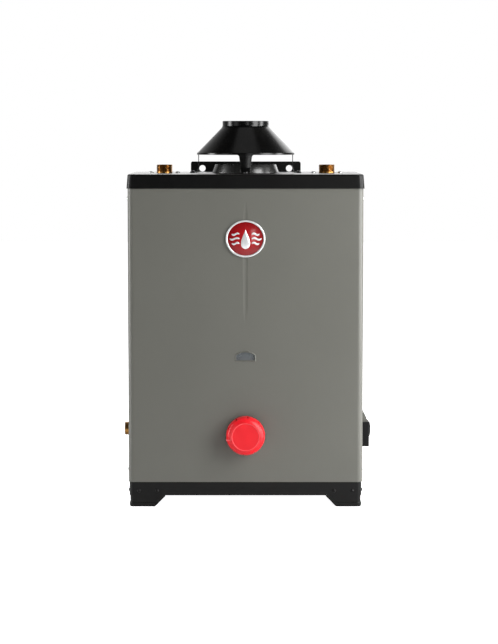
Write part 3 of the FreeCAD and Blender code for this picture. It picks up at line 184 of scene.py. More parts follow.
def piece(name, grids, body, slot, replaces=(), finish=None):
    """Object from grids of points: each cell becomes a face, and seams and poles are welded shut.

    finish names another slot's finish, where the piece doesn't take the one of its own slot.
    """
    points, faces, count = [], [], 0
    for grid in grids:
        rows, columns = grid.shape[:2]
        index = np.arange(rows * columns).reshape(rows, columns) + count
        cells = np.stack([index[:-1, :-1], index[:-1, 1:], index[1:, 1:], index[1:, :-1]], axis=-1)
        points.append(grid.reshape(-1, 3))
        faces.append(cells.reshape(-1, 4))
        count += rows * columns
    points, faces = np.concatenate(points), np.concatenate(faces)
    mesh = bpy.data.meshes.new(name)
    mesh.vertices.add(len(points))
    mesh.vertices.foreach_set("co", points.ravel())
    mesh.loops.add(faces.size)
    mesh.loops.foreach_set("vertex_index", faces.ravel())
    mesh.polygons.add(len(faces))
    mesh.polygons.foreach_set("loop_start", np.arange(0, faces.size, 4))
    mesh.update()
    shell = bmesh.new()
    shell.from_mesh(mesh)
    bmesh.ops.remove_doubles(shell, verts=shell.verts, dist=WELD)
    bmesh.ops.recalc_face_normals(shell, faces=shell.faces)
    for face in shell.faces:
        face.smooth = True
    for edge in shell.edges:
        edge.smooth = len(edge.link_faces) == 2 and edge.calc_face_angle(0) < CREASE
    shell.to_mesh(mesh)
    shell.free()
    mesh.materials.append(bpy.data.materials[finish_title(finish or slot)])
    made = bpy.data.objects.new(name, mesh)
    bpy.context.scene.collection.objects.link(made)
    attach(made, body)
    if replaces:
        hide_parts(*replaces)
    return made


# ---- Shared effects --------------------------------------------------------------------------------
def add_node(tree, kind, inputs=None, **settings):
    """Node with its settings made, and each named input linked to a socket or given a value."""
    made = tree.nodes.new("ShaderNode" + kind)
    for setting, value in settings.items():
        setattr(made, setting, value)
    for name, value in (inputs or {}).items():
        if isinstance(value, bpy.types.NodeSocket):
            tree.links.new(value, made.inputs[name])
        else:
            made.inputs[name].default_value = value
    return made


def maths(tree, operation, first, second=0.0, clamp=False):
    """Output of a Math node."""
    made = add_node(tree, "Math", {0: first, 1: second}, operation=operation, use_clamp=clamp)
    return made.outputs[0]


def spread(tree, value, low, high, to_low=0.0, to_high=1.0):
    """Output of a Map Range node: value from low..high to to_low..to_high, held inside that range."""
    made = add_node(tree, "MapRange", {"Value": value, "From Min": low, "From Max": high,
                                       "To Min": to_low, "To Max": to_high})
    return made.outputs["Result"]


def noise(tree, vector, scale, detail=3.0, roughness=0.55):
    """Value of a noise texture."""
    made = add_node(tree, "TexNoise", {"Vector": vector, "Scale": scale, "Detail": detail,
                                       "Roughness": roughness})
    return made.outputs["Fac"]


def blend_colour(tree, amount, first, second, mode="MIX"):
    """Colour output of a Mix node."""
    made = tree.nodes.new("ShaderNodeMix")
    made.data_type = "RGBA"
    made.blend_type = mode
    for number, value in ((0, amount), (6, first), (7, second)):
        if isinstance(value, bpy.types.NodeSocket):
            tree.links.new(value, made.inputs[number])
        else:
            made.inputs[number].default_value = value
    return made.outputs[2]


def effect(name, inputs, outputs):
    """Empty effect group with its sockets, as (tree, input sockets, output node)."""
    tree = bpy.data.node_groups.new(name, "ShaderNodeTree")
    for label, kind in inputs.items():
        tree.interface.new_socket(name=label, in_out="INPUT", socket_type="NodeSocket" + kind)
    for label, kind in outputs.items():
        tree.interface.new_socket(name=label, in_out="OUTPUT", socket_type="NodeSocket" + kind)
    return tree, tree.nodes.new("NodeGroupInput").outputs, tree.nodes.new("NodeGroupOutput").inputs


def make_orange_peel():
    """Height of sprayed paint: soft cells of the given size with a finer ripple over them."""
    tree, given, result = effect("Orange Peel", {"Vector": "Vector", "Scale": "Float"}, {"Height": "Float"})
    coarse = noise(tree, given["Vector"], given["Scale"], 2.0, 0.4)
    fine = noise(tree, given["Vector"], maths(tree, "MULTIPLY", given["Scale"], 3.7), 2.0)
    tree.links.new(maths(tree, "ADD", coarse, maths(tree, "MULTIPLY", fine, 0.35)), result["Height"])


def make_tone_drift():
    """Colour that wanders lighter and darker over broad patches."""
    tree, given, result = effect(
        "Tone Drift", {"Vector": "Vector", "Color": "Color", "Drift": "Float", "Scale": "Float"},
        {"Color": "Color"})
    patch = spread(tree, noise(tree, given["Vector"], given["Scale"], 4.0), 0.3, 0.7, -1.0, 1.0)
    change = maths(tree, "ADD", 1.0, maths(tree, "MULTIPLY", patch, given["Drift"]))
    made = add_node(tree, "HueSaturation", {"Color": given["Color"], "Value": change})
    tree.links.new(made.outputs["Color"], result["Color"])


def make_handling_marks():
    """Roughness of a wiped and handled surface: long faint smears and small dull spots."""
    tree, given, result = effect(
        "Handling Marks", {"Vector": "Vector", "Roughness": "Float", "Smear": "Float"},
        {"Roughness": "Float", "Mask": "Float"})
    slanted = add_node(tree, "Mapping", {"Vector": given["Vector"], "Rotation": (0.5, 0.4, 0.3),
                                         "Scale": (9.0, 9.0, 3.0)})
    smears = spread(tree, noise(tree, slanted.outputs["Vector"], 2.2, 5.0, 0.62), 0.46, 0.72)
    spots = spread(tree, noise(tree, given["Vector"], 260.0, 2.0), 0.62, 0.78)
    mask = maths(tree, "ADD", smears, maths(tree, "MULTIPLY", spots, 0.4), clamp=True)
    rise = maths(tree, "MULTIPLY", mask, given["Smear"])
    tree.links.new(mask, result["Mask"])
    tree.links.new(maths(tree, "ADD", given["Roughness"], rise, clamp=True), result["Roughness"])


def make_settled_dust():
    """Colour with fine dust on what faces up: the mask is the normal's rise times a grainy noise."""
    tree, given, result = effect(
        "Settled Dust", {"Vector": "Vector", "Color": "Color", "Dust": "Color", "Amount": "Float"},
        {"Color": "Color", "Mask": "Float"})
    geometry = add_node(tree, "NewGeometry")
    rise = add_node(tree, "SeparateXYZ", {"Vector": geometry.outputs["Normal"]}).outputs["Z"]
    upward = spread(tree, rise, 0.55, 0.98)
    grains = spread(tree, noise(tree, given["Vector"], 420.0, 3.0, 0.7), 0.42, 0.7)
    drifts = spread(tree, noise(tree, given["Vector"], 14.0, 3.0), 0.35, 0.7)
    cover = maths(tree, "MULTIPLY", upward, maths(tree, "MULTIPLY", grains, drifts))
    mask = maths(tree, "MULTIPLY", cover, given["Amount"], clamp=True)
    tree.links.new(mask, result["Mask"])
    tree.links.new(blend_colour(tree, mask, given["Color"], given["Dust"]), result["Color"])


def make_drawn_grain():
    """Fine lines left by drawing or brushing: noise squeezed across the metal and stretched along it."""
    tree, given, result = effect(
        "Drawn Grain", {"Vector": "Vector", "Stretch": "Vector", "Roughness": "Float", "Depth": "Float"},
        {"Roughness": "Float", "Height": "Float"})
    stretched = add_node(tree, "VectorMath", {0: given["Vector"], 1: given["Stretch"]},
                         operation="MULTIPLY")
    lines = noise(tree, stretched.outputs["Vector"], 1.0, 5.0, 0.7)
    change = maths(tree, "MULTIPLY", maths(tree, "SUBTRACT", lines, 0.5), given["Depth"])
    tree.links.new(maths(tree, "ADD", given["Roughness"], change, clamp=True), result["Roughness"])
    tree.links.new(lines, result["Height"])


def make_spangle():
    """Zinc crystals: each cell has its own shade and gloss."""
    tree, given, result = effect(
        "Spangle", {"Vector": "Vector", "Color": "Color", "Scale": "Float", "Roughness": "Float"},
        {"Color": "Color", "Roughness": "Float"})
    cells = add_node(tree, "TexVoronoi", {"Vector": given["Vector"], "Scale": given["Scale"]},
                     feature="F1")
    shade = add_node(tree, "SeparateColor", {"Color": cells.outputs["Color"]}).outputs[0]
    value = spread(tree, shade, 0.0, 1.0, 0.78, 1.12)
    made = add_node(tree, "HueSaturation", {"Color": given["Color"], "Value": value})
    change = spread(tree, shade, 0.0, 1.0, -0.08, 0.1)
    tree.links.new(made.outputs["Color"], result["Color"])
    tree.links.new(maths(tree, "ADD", given["Roughness"], change, clamp=True), result["Roughness"])


def make_heat_stain():
    """Colour of metal that has been hot: bands of straw, brown and blue that wander with a noise."""
    tree, given, result = effect(
        "Heat Stain", {"Vector": "Vector", "Color": "Color", "Amount": "Float"}, {"Color": "Color"})
    bands = add_node(tree, "ValToRGB", {"Fac": noise(tree, given["Vector"], 22.0, 4.0)})
    ramp = bands.color_ramp
    ramp.elements[0].color = (*paint_colour("6e6257"), 1)
    ramp.elements[1].color = (*paint_colour("4c5668"), 1)
    ramp.elements.new(0.5).color = (*paint_colour("8a6a48"), 1)
    tree.links.new(blend_colour(tree, given["Amount"], given["Color"], bands.outputs["Color"], "MULTIPLY"),
                   result["Color"])


EFFECTS = (make_orange_peel, make_tone_drift, make_handling_marks, make_settled_dust, make_drawn_grain,
           make_spangle, make_heat_stain)


def use(tree, name, **inputs):
    """Effect group placed in a material, with its inputs by name."""
    made = add_node(tree, "Group", node_tree=bpy.data.node_groups[name])
    for label, value in inputs.items():
        if isinstance(value, bpy.types.NodeSocket):
            tree.links.new(value, made.inputs[label])
        else:
            made.inputs[label].default_value = value
    return made.outputs


# ---- Finishes --------------------------------------------------------------------------------------
def finish_title(slot):
    """Name of the material that finishes a slot of the frame's record."""
    return slot.replace("_", " ").title()


def start_finish(name, **constants):
    """Material with a Principled shader, as (tree, shader inputs, object coordinates)."""
    material = bpy.data.materials.new(finish_title(name))
    material.use_nodes = True
    tree = material.node_tree
    shader = tree.nodes["Principled BSDF"]
    for label, value in constants.items():
        shader.inputs[label.replace("_", " ")].default_value = value
    coordinates = add_node(tree, "TexCoord").outputs["Object"]
    return tree, shader.inputs, coordinates


def relief(tree, shader, height, depth):
    """Bump into the shader's normal: a height of 1 stands depth metres off the surface."""
    made = add_node(tree, "Bump", {"Height": height, "Distance": depth, "Strength": 1.0})
    tree.links.new(made.outputs["Normal"], shader["Normal"])


def painted(name, colour, roughness, peel, depth, drift, dust=0.25, **constants):
    """Sprayed and baked paint on sheet steel."""
    tree, shader, where = start_finish(name, **constants)
    tone = use(tree, "Tone Drift", Vector=where, Color=(*colour, 1), Drift=drift, Scale=5.0)["Color"]
    dusty = use(tree, "Settled Dust", Vector=where, Color=tone, Dust=(*paint_colour("8e8a82"), 1),
                Amount=dust)
    marks = use(tree, "Handling Marks", Vector=where, Roughness=roughness, Smear=0.1)
    peeled = use(tree, "Orange Peel", Vector=where, Scale=peel)["Height"]
    tree.links.new(dusty["Color"], shader["Base Color"])
    rough = maths(tree, "ADD", marks["Roughness"], maths(tree, "MULTIPLY", dusty["Mask"], 0.3), clamp=True)
    tree.links.new(rough, shader["Roughness"])
    relief(tree, shader, peeled, depth)


def bare_metal(name, colour, roughness, stretch, drift=0.08, grain=0.16, metallic=1.0):
    """Turned, drawn or rolled metal, with its grain stretched along the way it was worked."""
    tree, shader, where = start_finish(name, Metallic=metallic)
    tone = use(tree, "Tone Drift", Vector=where, Color=(*colour, 1), Drift=drift, Scale=40.0)["Color"]
    grained = use(tree, "Drawn Grain", Vector=where, Stretch=stretch, Roughness=roughness, Depth=grain)
    marks = use(tree, "Handling Marks", Vector=where, Roughness=grained["Roughness"], Smear=0.06)
    tree.links.new(tone, shader["Base Color"])
    tree.links.new(marks["Roughness"], shader["Roughness"])
    relief(tree, shader, grained["Height"], 0.03 * MM)


def moulded(name, colour, roughness, grain, depth, **constants):
    """Moulded plastic: even colour, a fine moulded grain and a few handling marks."""
    tree, shader, where = start_finish(name, **constants)
    tone = use(tree, "Tone Drift", Vector=where, Color=(*colour, 1), Drift=0.04, Scale=30.0)["Color"]
    dusty = use(tree, "Settled Dust", Vector=where, Color=tone, Dust=(*paint_colour("b4aca2"), 1),
                Amount=0.12)
    marks = use(tree, "Handling Marks", Vector=where, Roughness=roughness, Smear=0.14)
    tree.links.new(dusty["Color"], shader["Base Color"])
    tree.links.new(marks["Roughness"], shader["Roughness"])
    relief(tree, shader, noise(tree, where, grain, 3.0), depth)


def heated_metal(name, colour, roughness, amount):
    """Steel that sits in the flame or the flue gas."""
    tree, shader, where = start_finish(name, Metallic=1.0)
    stained = use(tree, "Heat Stain", Vector=where, Color=(*colour, 1), Amount=amount)["Color"]
    marks = use(tree, "Handling Marks", Vector=where, Roughness=roughness, Smear=0.25)
    tree.links.new(stained, shader["Base Color"])
    tree.links.new(marks["Roughness"], shader["Roughness"])
    relief(tree, shader, noise(tree, where, 700.0), 0.00005)


def zinc_sheet(name, colour, roughness, scale):
    """Hot-dipped sheet with its spangle."""
    tree, shader, where = start_finish(name, Metallic=1.0)
    crystals = use(tree, "Spangle", Vector=where, Color=(*colour, 1), Scale=scale, Roughness=roughness)
    marks = use(tree, "Handling Marks", Vector=where, Roughness=crystals["Roughness"], Smear=0.15)
    tree.links.new(crystals["Color"], shader["Base Color"])
    tree.links.new(marks["Roughness"], shader["Roughness"])
    relief(tree, shader, noise(tree, where, 500.0), 0.00003)


def rough_solid(name, colour, roughness, scale, depth, drift, **constants):
    """Cast, fibrous or fired surface: coarse relief with darker hollows."""
    tree, shader, where = start_finish(name, **constants)
    height = noise(tree, where, scale, 6.0, 0.65)
    dark = tuple(channel * 0.62 for channel in colour)
    tone = blend_colour(tree, spread(tree, height, 0.35, 0.6), (*dark, 1), (*colour, 1))
    drifted = use(tree, "Tone Drift", Vector=where, Color=tone, Drift=drift, Scale=18.0)["Color"]
    marks = use(tree, "Handling Marks", Vector=where, Roughness=roughness, Smear=0.1)
    tree.links.new(drifted, shader["Base Color"])
    tree.links.new(marks["Roughness"], shader["Roughness"])
    relief(tree, shader, height, depth)


def badge_enamel(name, colour):
    """Clear-coated red enamel, darker towards the rim: painted shade where the dome falls to the raised
    ring.
    """
    tree, shader, where = start_finish(name, Coat_Roughness=0.03, Coat_Weight=0.5, Specular_IOR_Level=0.3)
    centred = add_node(tree, "Mapping", {"Vector": where, "Location": (0, 0, -BADGE_Z)})
    flat = add_node(tree, "VectorMath", {0: centred.outputs["Vector"], 1: (1.0, 0.0, 1.06)},
                    operation="MULTIPLY")
    away = add_node(tree, "VectorMath", {0: flat.outputs["Vector"]}, operation="LENGTH").outputs["Value"]
    # painted shade: the enamel darkens from the middle out to the rim
    rim_shade = spread(tree, away, 0.012, 0.030)
    dark = tuple(channel * 0.55 for channel in colour)
    tone = blend_colour(tree, rim_shade, (*colour, 1), (*dark, 1))
    flecks = spread(tree, noise(tree, where, 2600.0, 2.0), 0.6, 0.8, 0.0, 0.25)
    tree.links.new(blend_colour(tree, flecks, tone, (*paint_colour("e0474a"), 1)), shader["Base Color"])
    marks = use(tree, "Handling Marks", Vector=where, Roughness=0.22, Smear=0.1)
    tree.links.new(marks["Roughness"], shader["Roughness"])
    relief(tree, shader, noise(tree, where, 300.0), 0.00001)


def knob_plastic(name, colour):
    """Red plastic with a painted highlight, a paler red line round the face's ring and along the index bar,
    where their edges would catch the light.

    The ring's mask follows the distance from the axis; the bar's follows the distance from its line.
    """
    tree, shader, where = start_finish(name, Subsurface_Weight=0.08, Specular_IOR_Level=0.3,
                                       Subsurface_Radius=(0.004, 0.001, 0.001))
    centred = add_node(tree, "Mapping", {"Vector": where, "Location": (0, 0, -KNOB_Z)})
    flat = add_node(tree, "VectorMath", {0: centred.outputs["Vector"], 1: (1.0, 0.0, 1.0)},
                    operation="MULTIPLY")
    away = add_node(tree, "VectorMath", {0: flat.outputs["Vector"]}, operation="LENGTH").outputs["Value"]
    beside = maths(tree, "ABSOLUTE", maths(tree, "SUBTRACT", away, 21.8 * MM))
    ring = spread(tree, beside, 0.3 * MM, 0.7 * MM, 0.5, 0.0)
    along = add_node(tree, "Mapping", {"Vector": flat.outputs["Vector"], "Rotation": (0, INDEX_ANGLE, 0)})
    parts = add_node(tree, "SeparateXYZ", {"Vector": along.outputs["Vector"]})
    across = spread(tree, maths(tree, "ABSOLUTE", parts.outputs["Z"]), 0.6 * MM, 1.1 * MM, 0.6, 0.0)
    bar = maths(tree, "MULTIPLY", across, spread(tree, parts.outputs["X"], 23.2 * MM, 23.8 * MM))
    tone = use(tree, "Tone Drift", Vector=where, Color=(*colour, 1), Drift=0.04, Scale=30.0)["Color"]
    # painted highlight: paler red on the ring and the index bar, standing in for light caught on their
    # edges
    painted_highlight = maths(tree, "MAXIMUM", ring, bar, clamp=True)
    highlighted_tone = blend_colour(tree, painted_highlight, tone, (*paint_colour("ee7276"), 1))
    marks = use(tree, "Handling Marks", Vector=where, Roughness=0.3, Smear=0.14)
    tree.links.new(highlighted_tone, shader["Base Color"])
    tree.links.new(marks["Roughness"], shader["Roughness"])
    relief(tree, shader, noise(tree, where, 1500.0, 3.0), 0.00002)


def window_glass(name, colour):
    """Heat-proof sight glass, faintly smoked, with a film of dust."""
    tree, shader, where = start_finish(name, IOR=1.5, Transmission_Weight=0.3, Coat_Weight=0.3)
    tone = use(tree, "Tone Drift", Vector=where, Color=(*colour, 1), Drift=0.15, Scale=60.0)["Color"]
    marks = use(tree, "Handling Marks", Vector=where, Roughness=0.12, Smear=0.2)
    tree.links.new(tone, shader["Base Color"])
    tree.links.new(marks["Roughness"], shader["Roughness"])
    relief(tree, shader, noise(tree, where, 90.0), 0.00008)


def make_finishes(tones):
    """Every finish of the heater, each named for its slot in the frame's record."""
    painted("jacket_paint", tones.jacket, 0.34, 900.0, 0.00004, 0.03, dust=0.2, Specular_IOR_Level=0.45)
    painted("black_enamel", tones.enamel, 0.3, 1100.0, 0.00002, 0.15, dust=0.3, Specular_IOR_Level=0.22)
    painted("hood_enamel", tones.hood, 0.2, 1300.0, 0.00001, 0.2, dust=0.1, Specular_IOR_Level=0.32)
    painted("collar_steel", tones.collar, 0.24, 1000.0, 0.00001, 0.12, dust=0.2, Specular_IOR_Level=0.7)
    painted("leg_enamel", tones.hood, 0.2, 1300.0, 0.00001, 0.2, dust=0.1, Specular_IOR_Level=0.5)
    painted("tank_enamel", tones.tank, 0.35, 700.0, 0.00006, 0.06, Specular_IOR_Level=0.5)
    bare_metal("zinc_steel", paint_colour("b9bbb9"), 0.28, (900.0, 900.0, 900.0))
    bare_metal("bright_steel", paint_colour("c2c2c0"), 0.2, (1500.0, 60.0, 1500.0))
    bare_metal("brass", tones.brass, 0.27, (300.0, 300.0, 2400.0), drift=0.04, grain=0.1)
    bare_metal("chrome_trim", paint_colour("e6e7e8"), 0.16, (400.0, 400.0, 400.0), drift=0.03, grain=0.06,
               metallic=0.5)
    bare_metal("tube_aluminium", paint_colour("c9cacc"), 0.3, (120.0, 1800.0, 1800.0))
    bare_metal("copper_line", paint_colour("b8754f"), 0.25, (1500.0, 1500.0, 90.0), drift=0.15)
    zinc_sheet("galvanised_sheet", paint_colour("b4b8b9"), 0.34, 140.0)
    heated_metal("burner_steel", paint_colour("a3a09b"), 0.38, 0.8)
    badge_enamel("badge_enamel", tones.badge)
    window_glass("sight_glass", tones.window)
    knob_plastic("knob_plastic", tones.knob)
    moulded("black_plastic", tones.plastic, 0.36, 1800.0, 0.00005, Specular_IOR_Level=0.12)
    moulded("white_plastic", paint_colour("dcdad2"), 0.45, 900.0, 0.00002, Subsurface_Weight=0.1,
            Subsurface_Radius=(0.003, 0.003, 0.002))
    moulded("lead_rubber", paint_colour("2a2a2c"), 0.6, 1400.0, 0.00004)
    rough_solid("cast_aluminium", paint_colour("a6a8a8"), 0.45, 1300.0, 0.0002, 0.06, Metallic=1.0)
    rough_solid("magnesium", paint_colour("9c9d9c"), 0.55, 900.0, 0.0001, 0.1, Metallic=1.0)
    rough_solid("glass_wool", paint_colour("d9b75e"), 0.95, 260.0, 0.003, 0.2, Sheen_Weight=0.3)
    rough_solid("ceramic_white", paint_colour("e4e0d6"), 0.3, 500.0, 0.00004, 0.04)


# ---- Settings --------------------------------------------------------------------------------------
def colour_setting(name, description, code):
    """Colour property whose default is a six-digit screen colour code."""
    return bpy.props.FloatVectorProperty(name=name, description=description, default=paint_colour(code),
                                         subtype="COLOR", size=3, min=0.0, max=1.0)


def length_setting(name, description, default):
    """Length property whose default is given in millimetres."""
    return bpy.props.FloatProperty(name=name, description=description, default=default * MM,
                                   min=0.0, precision=5, unit="LENGTH")


def power_setting(name, description, default):
    """Power property of a light, in watts."""
    return bpy.props.FloatProperty(name=name, description=description, default=default, unit="POWER")


class HeaterTones(bpy.types.PropertyGroup):
    """Colours of the heater's finishes."""
    jacket: colour_setting("Jacket", "Warm grey powder coat of the jacket", "5e5e58")
    enamel: colour_setting("Enamel", "Black enamel of the cover, base and feet", "080808")
    hood: colour_setting("Hood", "High-temperature black of the draft hood", "040404")
    collar: colour_setting("Collar", "Dark grey of the flue collar", "222221")
    tank: colour_setting("Tank", "Primer on the water tank", "5c4a44")
    brass: colour_setting("Brass", "Brass of the pipe connections", "a87c44")
    knob: colour_setting("Knob", "Red plastic of the control knob", "d81a24")
    badge: colour_setting("Badge", "Red enamel of the badge", "941318")
    window: colour_setting("Window", "Smoked tone of the sight glass", "62676a")
    plastic: colour_setting("Plastic", "Black plastic of the igniter", "171718")


class KnobShape(bpy.types.PropertyGroup):
    """Sizes of the control knob."""
    radius: length_setting("Radius", "Radius of the knob's rim", 31.5)
    face_radius: length_setting("Face radius", "Radius of the raised ring round the face", 23.2)
    back: length_setting("Back", "Distance from the panel to the rim's rear edge", 7.0)
    shoulder: length_setting("Shoulder", "Distance from the panel to the top of the straight rim", 12.5)
    proud: length_setting("Proud", "Distance from the panel to the face", 31.0)
    wall: length_setting("Wall", "Thickness of the moulding", 2.9)
    hub_radius: length_setting("Hub", "Radius of the hub on the stem", 8.5)
    hub_back: length_setting("Hub back", "Distance from the panel to the hub's rear end", 6.0)
    notch_radius: length_setting("Notch", "Radius of each grip notch", 1.3)
    notches: bpy.props.IntProperty(name="Notches", default=10, min=3, max=60,
                                   description="Places round the rim, one of them the index")
    index: bpy.props.FloatProperty(name="Index", description="Angle of the index bar from the right",
                                   default=INDEX_ANGLE, unit="ROTATION")


class BadgeShape(bpy.types.PropertyGroup):
    """Sizes of the oval badge."""
    width: length_setting("Width", "Width of the rim", 63.7)
    height: length_setting("Height", "Height of the rim", 60.0)
    rim: length_setting("Rim", "Width of the chrome ring", 3.0)
    thick: length_setting("Thickness", "Distance from the panel to the rim's crown", 3.4)
    dome: length_setting("Dome", "Rise of the enamel over its edge", 3.0)


class WindowShape(bpy.types.PropertyGroup):
    """Sizes of the arched sight window."""
    width: length_setting("Width", "Width of the frame", 34.0)
    height: length_setting("Height", "Height of the frame at the crown of its arch", 17.0)
    side: length_setting("Side", "Height of the straight sides", 11.0)
    rim: length_setting("Rim", "Width of the frame's face", 2.0)
    proud: length_setting("Proud", "How far the frame stands off the panel", 1.2)
    sheet: length_setting("Sheet", "Thickness of the panel", 1.0)
    glass: length_setting("Glass", "Thickness of the pane", 1.6)
    lap: length_setting("Lap", "How far the pane reaches past the frame behind the panel", 2.0)


class ScrewShape(bpy.types.PropertyGroup):
    """Sizes of the pan-head screws and where they sit."""
    radius: length_setting("Radius", "Radius of the head", 3.8)
    height: length_setting("Height", "Height of the head", 2.9)
    nipple: length_setting("Nipple", "From a nipple's centre to the screw beside it", 22.0)
    leg: length_setting("Leg", "From the flue's axis to the screw in each leg", 88.5)
    edge: length_setting("Edge", "From the front panel to the screws in the sides", 38.0)
    low: length_setting("Low", "Height of the lower screws in the sides", 57.7)
    high: length_setting("High", "Height of the upper screws in the sides", 499.5)
    inner: length_setting("Inner", "From the middle to the bracket's inner screws", 30.4)
    outer: length_setting("Outer", "From the middle to the bracket's outer screws", 79.8)
    bracket: length_setting("Bracket", "Height of the bracket's screws", 488.5)
    strip: length_setting("Strip", "Thickness of the bracket", 1.5)


class SpringShape(bpy.types.PropertyGroup):
    """Sizes of the two return springs."""
    wire: length_setting("Wire", "Radius of the wire", 0.6)
    knob: length_setting("Knob spring", "Radius of the coil behind the knob", 6.5)
    button: length_setting("Button spring", "Radius of the coil behind the button", 5.2)
    knob_travel: length_setting("Knob travel", "How far the knob pushes in", 5.0)
    button_travel: length_setting("Button travel", "How far the button pushes in", 4.0)
    knob_turns: bpy.props.IntProperty(name="Knob turns", default=4,
                                      description="Turns of the knob's spring")
    button_turns: bpy.props.IntProperty(name="Button turns", default=3,
                                        description="Turns of the button's spring")


class HoodShape(bpy.types.PropertyGroup):
    """Sizes of the draft hood and flue collar."""
    sheet: length_setting("Sheet", "Thickness of the hood's sheet", 1.0)
    spigot: length_setting("Spigot", "Radius of the vent spigot", 38.4)
    spigot_length: length_setting("Spigot length", "Length of the straight spigot", 8.6)
    root: length_setting("Root", "Radius where the cone leaves the spigot", 40.4)
    root_height: length_setting("Root height", "Height of that line above the floor", 614.5)
    cone: length_setting("Cone", "Radius of the cone's rim", 81.0)
    rim_height: length_setting("Rim height", "Height of the cone's rim above the floor", 573.0)
    lip: length_setting("Lip", "Depth of the lip under the rim", 3.0)
    collar_foot: length_setting("Collar foot", "Radius of the flue collar on the cover", 55.5)
    collar_top: length_setting("Collar top", "Radius of the flue collar's upper edge", 50.5)
    collar_height: length_setting("Collar height", "Height of the flue collar", 14.0)
    collar_hole: length_setting("Collar hole", "Radius of the hole in the flue collar's foot", 45.0)
    leg: length_setting("Leg", "From the flue's axis to the middle of each leg's sheet", 78.2)
    leg_foot: length_setting("Leg foot", "Length of each leg's foot", 14.5)
    leg_flare: length_setting("Leg flare", "How far each leg flares out above its foot", 3.0)


class PipeThreads(bpy.types.PropertyGroup):
    """Sizes of the pipe connections."""
    water_radius: length_setting("Water", "Outside radius of the water nipples' thread", 13.35)
    water_pitch: length_setting("Water pitch", "Pitch of the water nipples' thread", 1.81)
    gas_radius: length_setting("Gas", "Outside radius of the gas inlet's end", 10.65)
    depth: length_setting("Depth", "Depth of the water nipples' thread", 0.75)


class StudioSetup(bpy.types.PropertyGroup):
    """Camera and lights."""
    distance: bpy.props.FloatProperty(name="Distance", description="From the front panel to the camera",
                                      default=3.6, unit="LENGTH")
    height: bpy.props.FloatProperty(name="Height", description="Camera above the floor", default=0.6,
                                    unit="LENGTH")
    aside: bpy.props.FloatProperty(name="Aside", description="Camera to the right of the heater",
                                   default=0.0056, unit="LENGTH")
    tilt: bpy.props.FloatProperty(name="Tilt", description="How far the camera looks down",
                                  default=radians(4.74), unit="ROTATION")
    lens: bpy.props.FloatProperty(name="Lens", description="Focal length in millimetres", default=125.05)
    key: power_setting("Key", "Power of the key light", 36.0)
    fill: power_setting("Fill", "Power of the fill light", 4.0)
    side: power_setting("Side", "Power of the strip light on the left", 26.0)
    edge: power_setting("Edge", "Power of the strip light on the right", 29.0)
    top: power_setting("Top", "Power of the light overhead", 1.0)
    band: power_setting("Band", "Power of the strip beside the camera", 6.0)
    rear: power_setting("Rear", "Power of the light behind", 20.0)
    paper: bpy.props.FloatProperty(name="Paper", description="Glow of the floor paper", default=1.0,
                                   min=0.0)


# ---- Pieces ----------------------------------------------------------------------------------------
def knob_surface(shape):
    """Surface of the knob as (radius, height) over (profile, angle).

    Radius: the profile's, held under seat - sqrt(notch^2 - arc^2) inside a notch, for the arc from the
    notch's middle.  Radius and height both grow by the index bar's rise where the point lies within the
    bar's width of the index line.
    """
    slope_top = shape.proud - 2.6 * MM
    ring = shape.face_radius
    inside = shape.radius - shape.wall
    face_in = shape.proud - shape.wall - 0.6 * MM
    floor = shape.shoulder - 3 * MM
    corners = [(0, shape.hub_back), (shape.hub_radius, shape.hub_back), (shape.hub_radius, face_in),
               (ring - shape.wall, face_in), (inside, shape.shoulder), (inside, shape.back),
               (shape.radius, shape.back), (shape.radius, floor), (shape.radius, shape.shoulder),
               (shape.radius - 0.9 * MM, slope_top - 7 * MM), (ring + 5.2 * MM, slope_top - 2.4 * MM),
               (ring + 1.2 * MM, slope_top + 0.4 * MM), (ring, shape.proud), (ring - 1.6 * MM, shape.proud),
               (ring - 2.1 * MM, shape.proud - 0.6 * MM), (0, shape.proud - 0.6 * MM)]
    radii = np.array([0, 0.5, 0.5, 1, 1, 0.3, 0.5, 0, 8, 5, 5, 0.5, 0.5, 0.4, 0.4, 0]) * MM
    profile = spaced(eased(corners, radii), 0.8 * MM)
    angle = np.linspace(0, tau, 721)[None, :] + shape.index
    r, h = profile[:, 0, None] + 0 * angle, profile[:, 1, None] + 0 * angle
    outer = (np.arange(len(profile)) > np.argmax(profile[:, 0]) - 1)[:, None]
    step = tau / shape.notches
    turn = np.mod(angle - shape.index + step / 2, step) - step / 2
    on_index = np.abs(np.mod(angle - shape.index + pi, tau) - pi) < step / 2
    seat = shape.radius - 1.0 * MM
    bite = seat - np.sqrt(np.maximum(shape.notch_radius ** 2 - (seat * turn) ** 2, 0))
    notched = outer & ~on_index & (np.abs(seat * turn) < shape.notch_radius) & (h > floor)
    r = np.where(notched, np.minimum(r, bite), r)
    across = np.abs(r * np.sin(turn))
    bar = (1 - ease(across, 1.2 * MM, 1.7 * MM)) * on_index * outer
    bar = bar * ease(r, ring + 1.0 * MM, ring + 2.0 * MM)
    bar = bar * ease(h, shape.shoulder - 0.5 * MM, shape.shoulder)
    rise = 1.0 * MM * bar
    return np.stack([(r + rise) * np.cos(angle), (r + rise) * np.sin(angle), h + rise], axis=-1)


class HEATER_OT_knob(bpy.types.Operator):
    """Build the control knob"""
    bl_idname = "heater.knob"
    bl_label = "Control Knob"

    def execute(self, context):
        points = knob_surface(context.scene.heater_knob) @ FRONT + np.array([0, PANEL_Y, KNOB_Z])
        piece("knob_moulding", [points], "control_knob", "knob_plastic", ["control_knob"])
        return {"FINISHED"}


def dome_height(shape, x, z):
    """Height of the badge's enamel: edge + dome * (1 - (x/a)^2 - (z/b)^2)."""
    a, b = shape.width / 2 - shape.rim, shape.height / 2 - shape.rim
    edge = 2 * MM
    return edge + shape.dome * (1 - (x / a) ** 2 - (z / b) ** 2)


def oval(width, height, sides=128):
    """Closed ellipse: (a cos t, b sin t)."""
    t = np.linspace(0, tau, sides + 1)
    return np.stack([width / 2 * np.cos(t), height / 2 * np.sin(t)], axis=1)


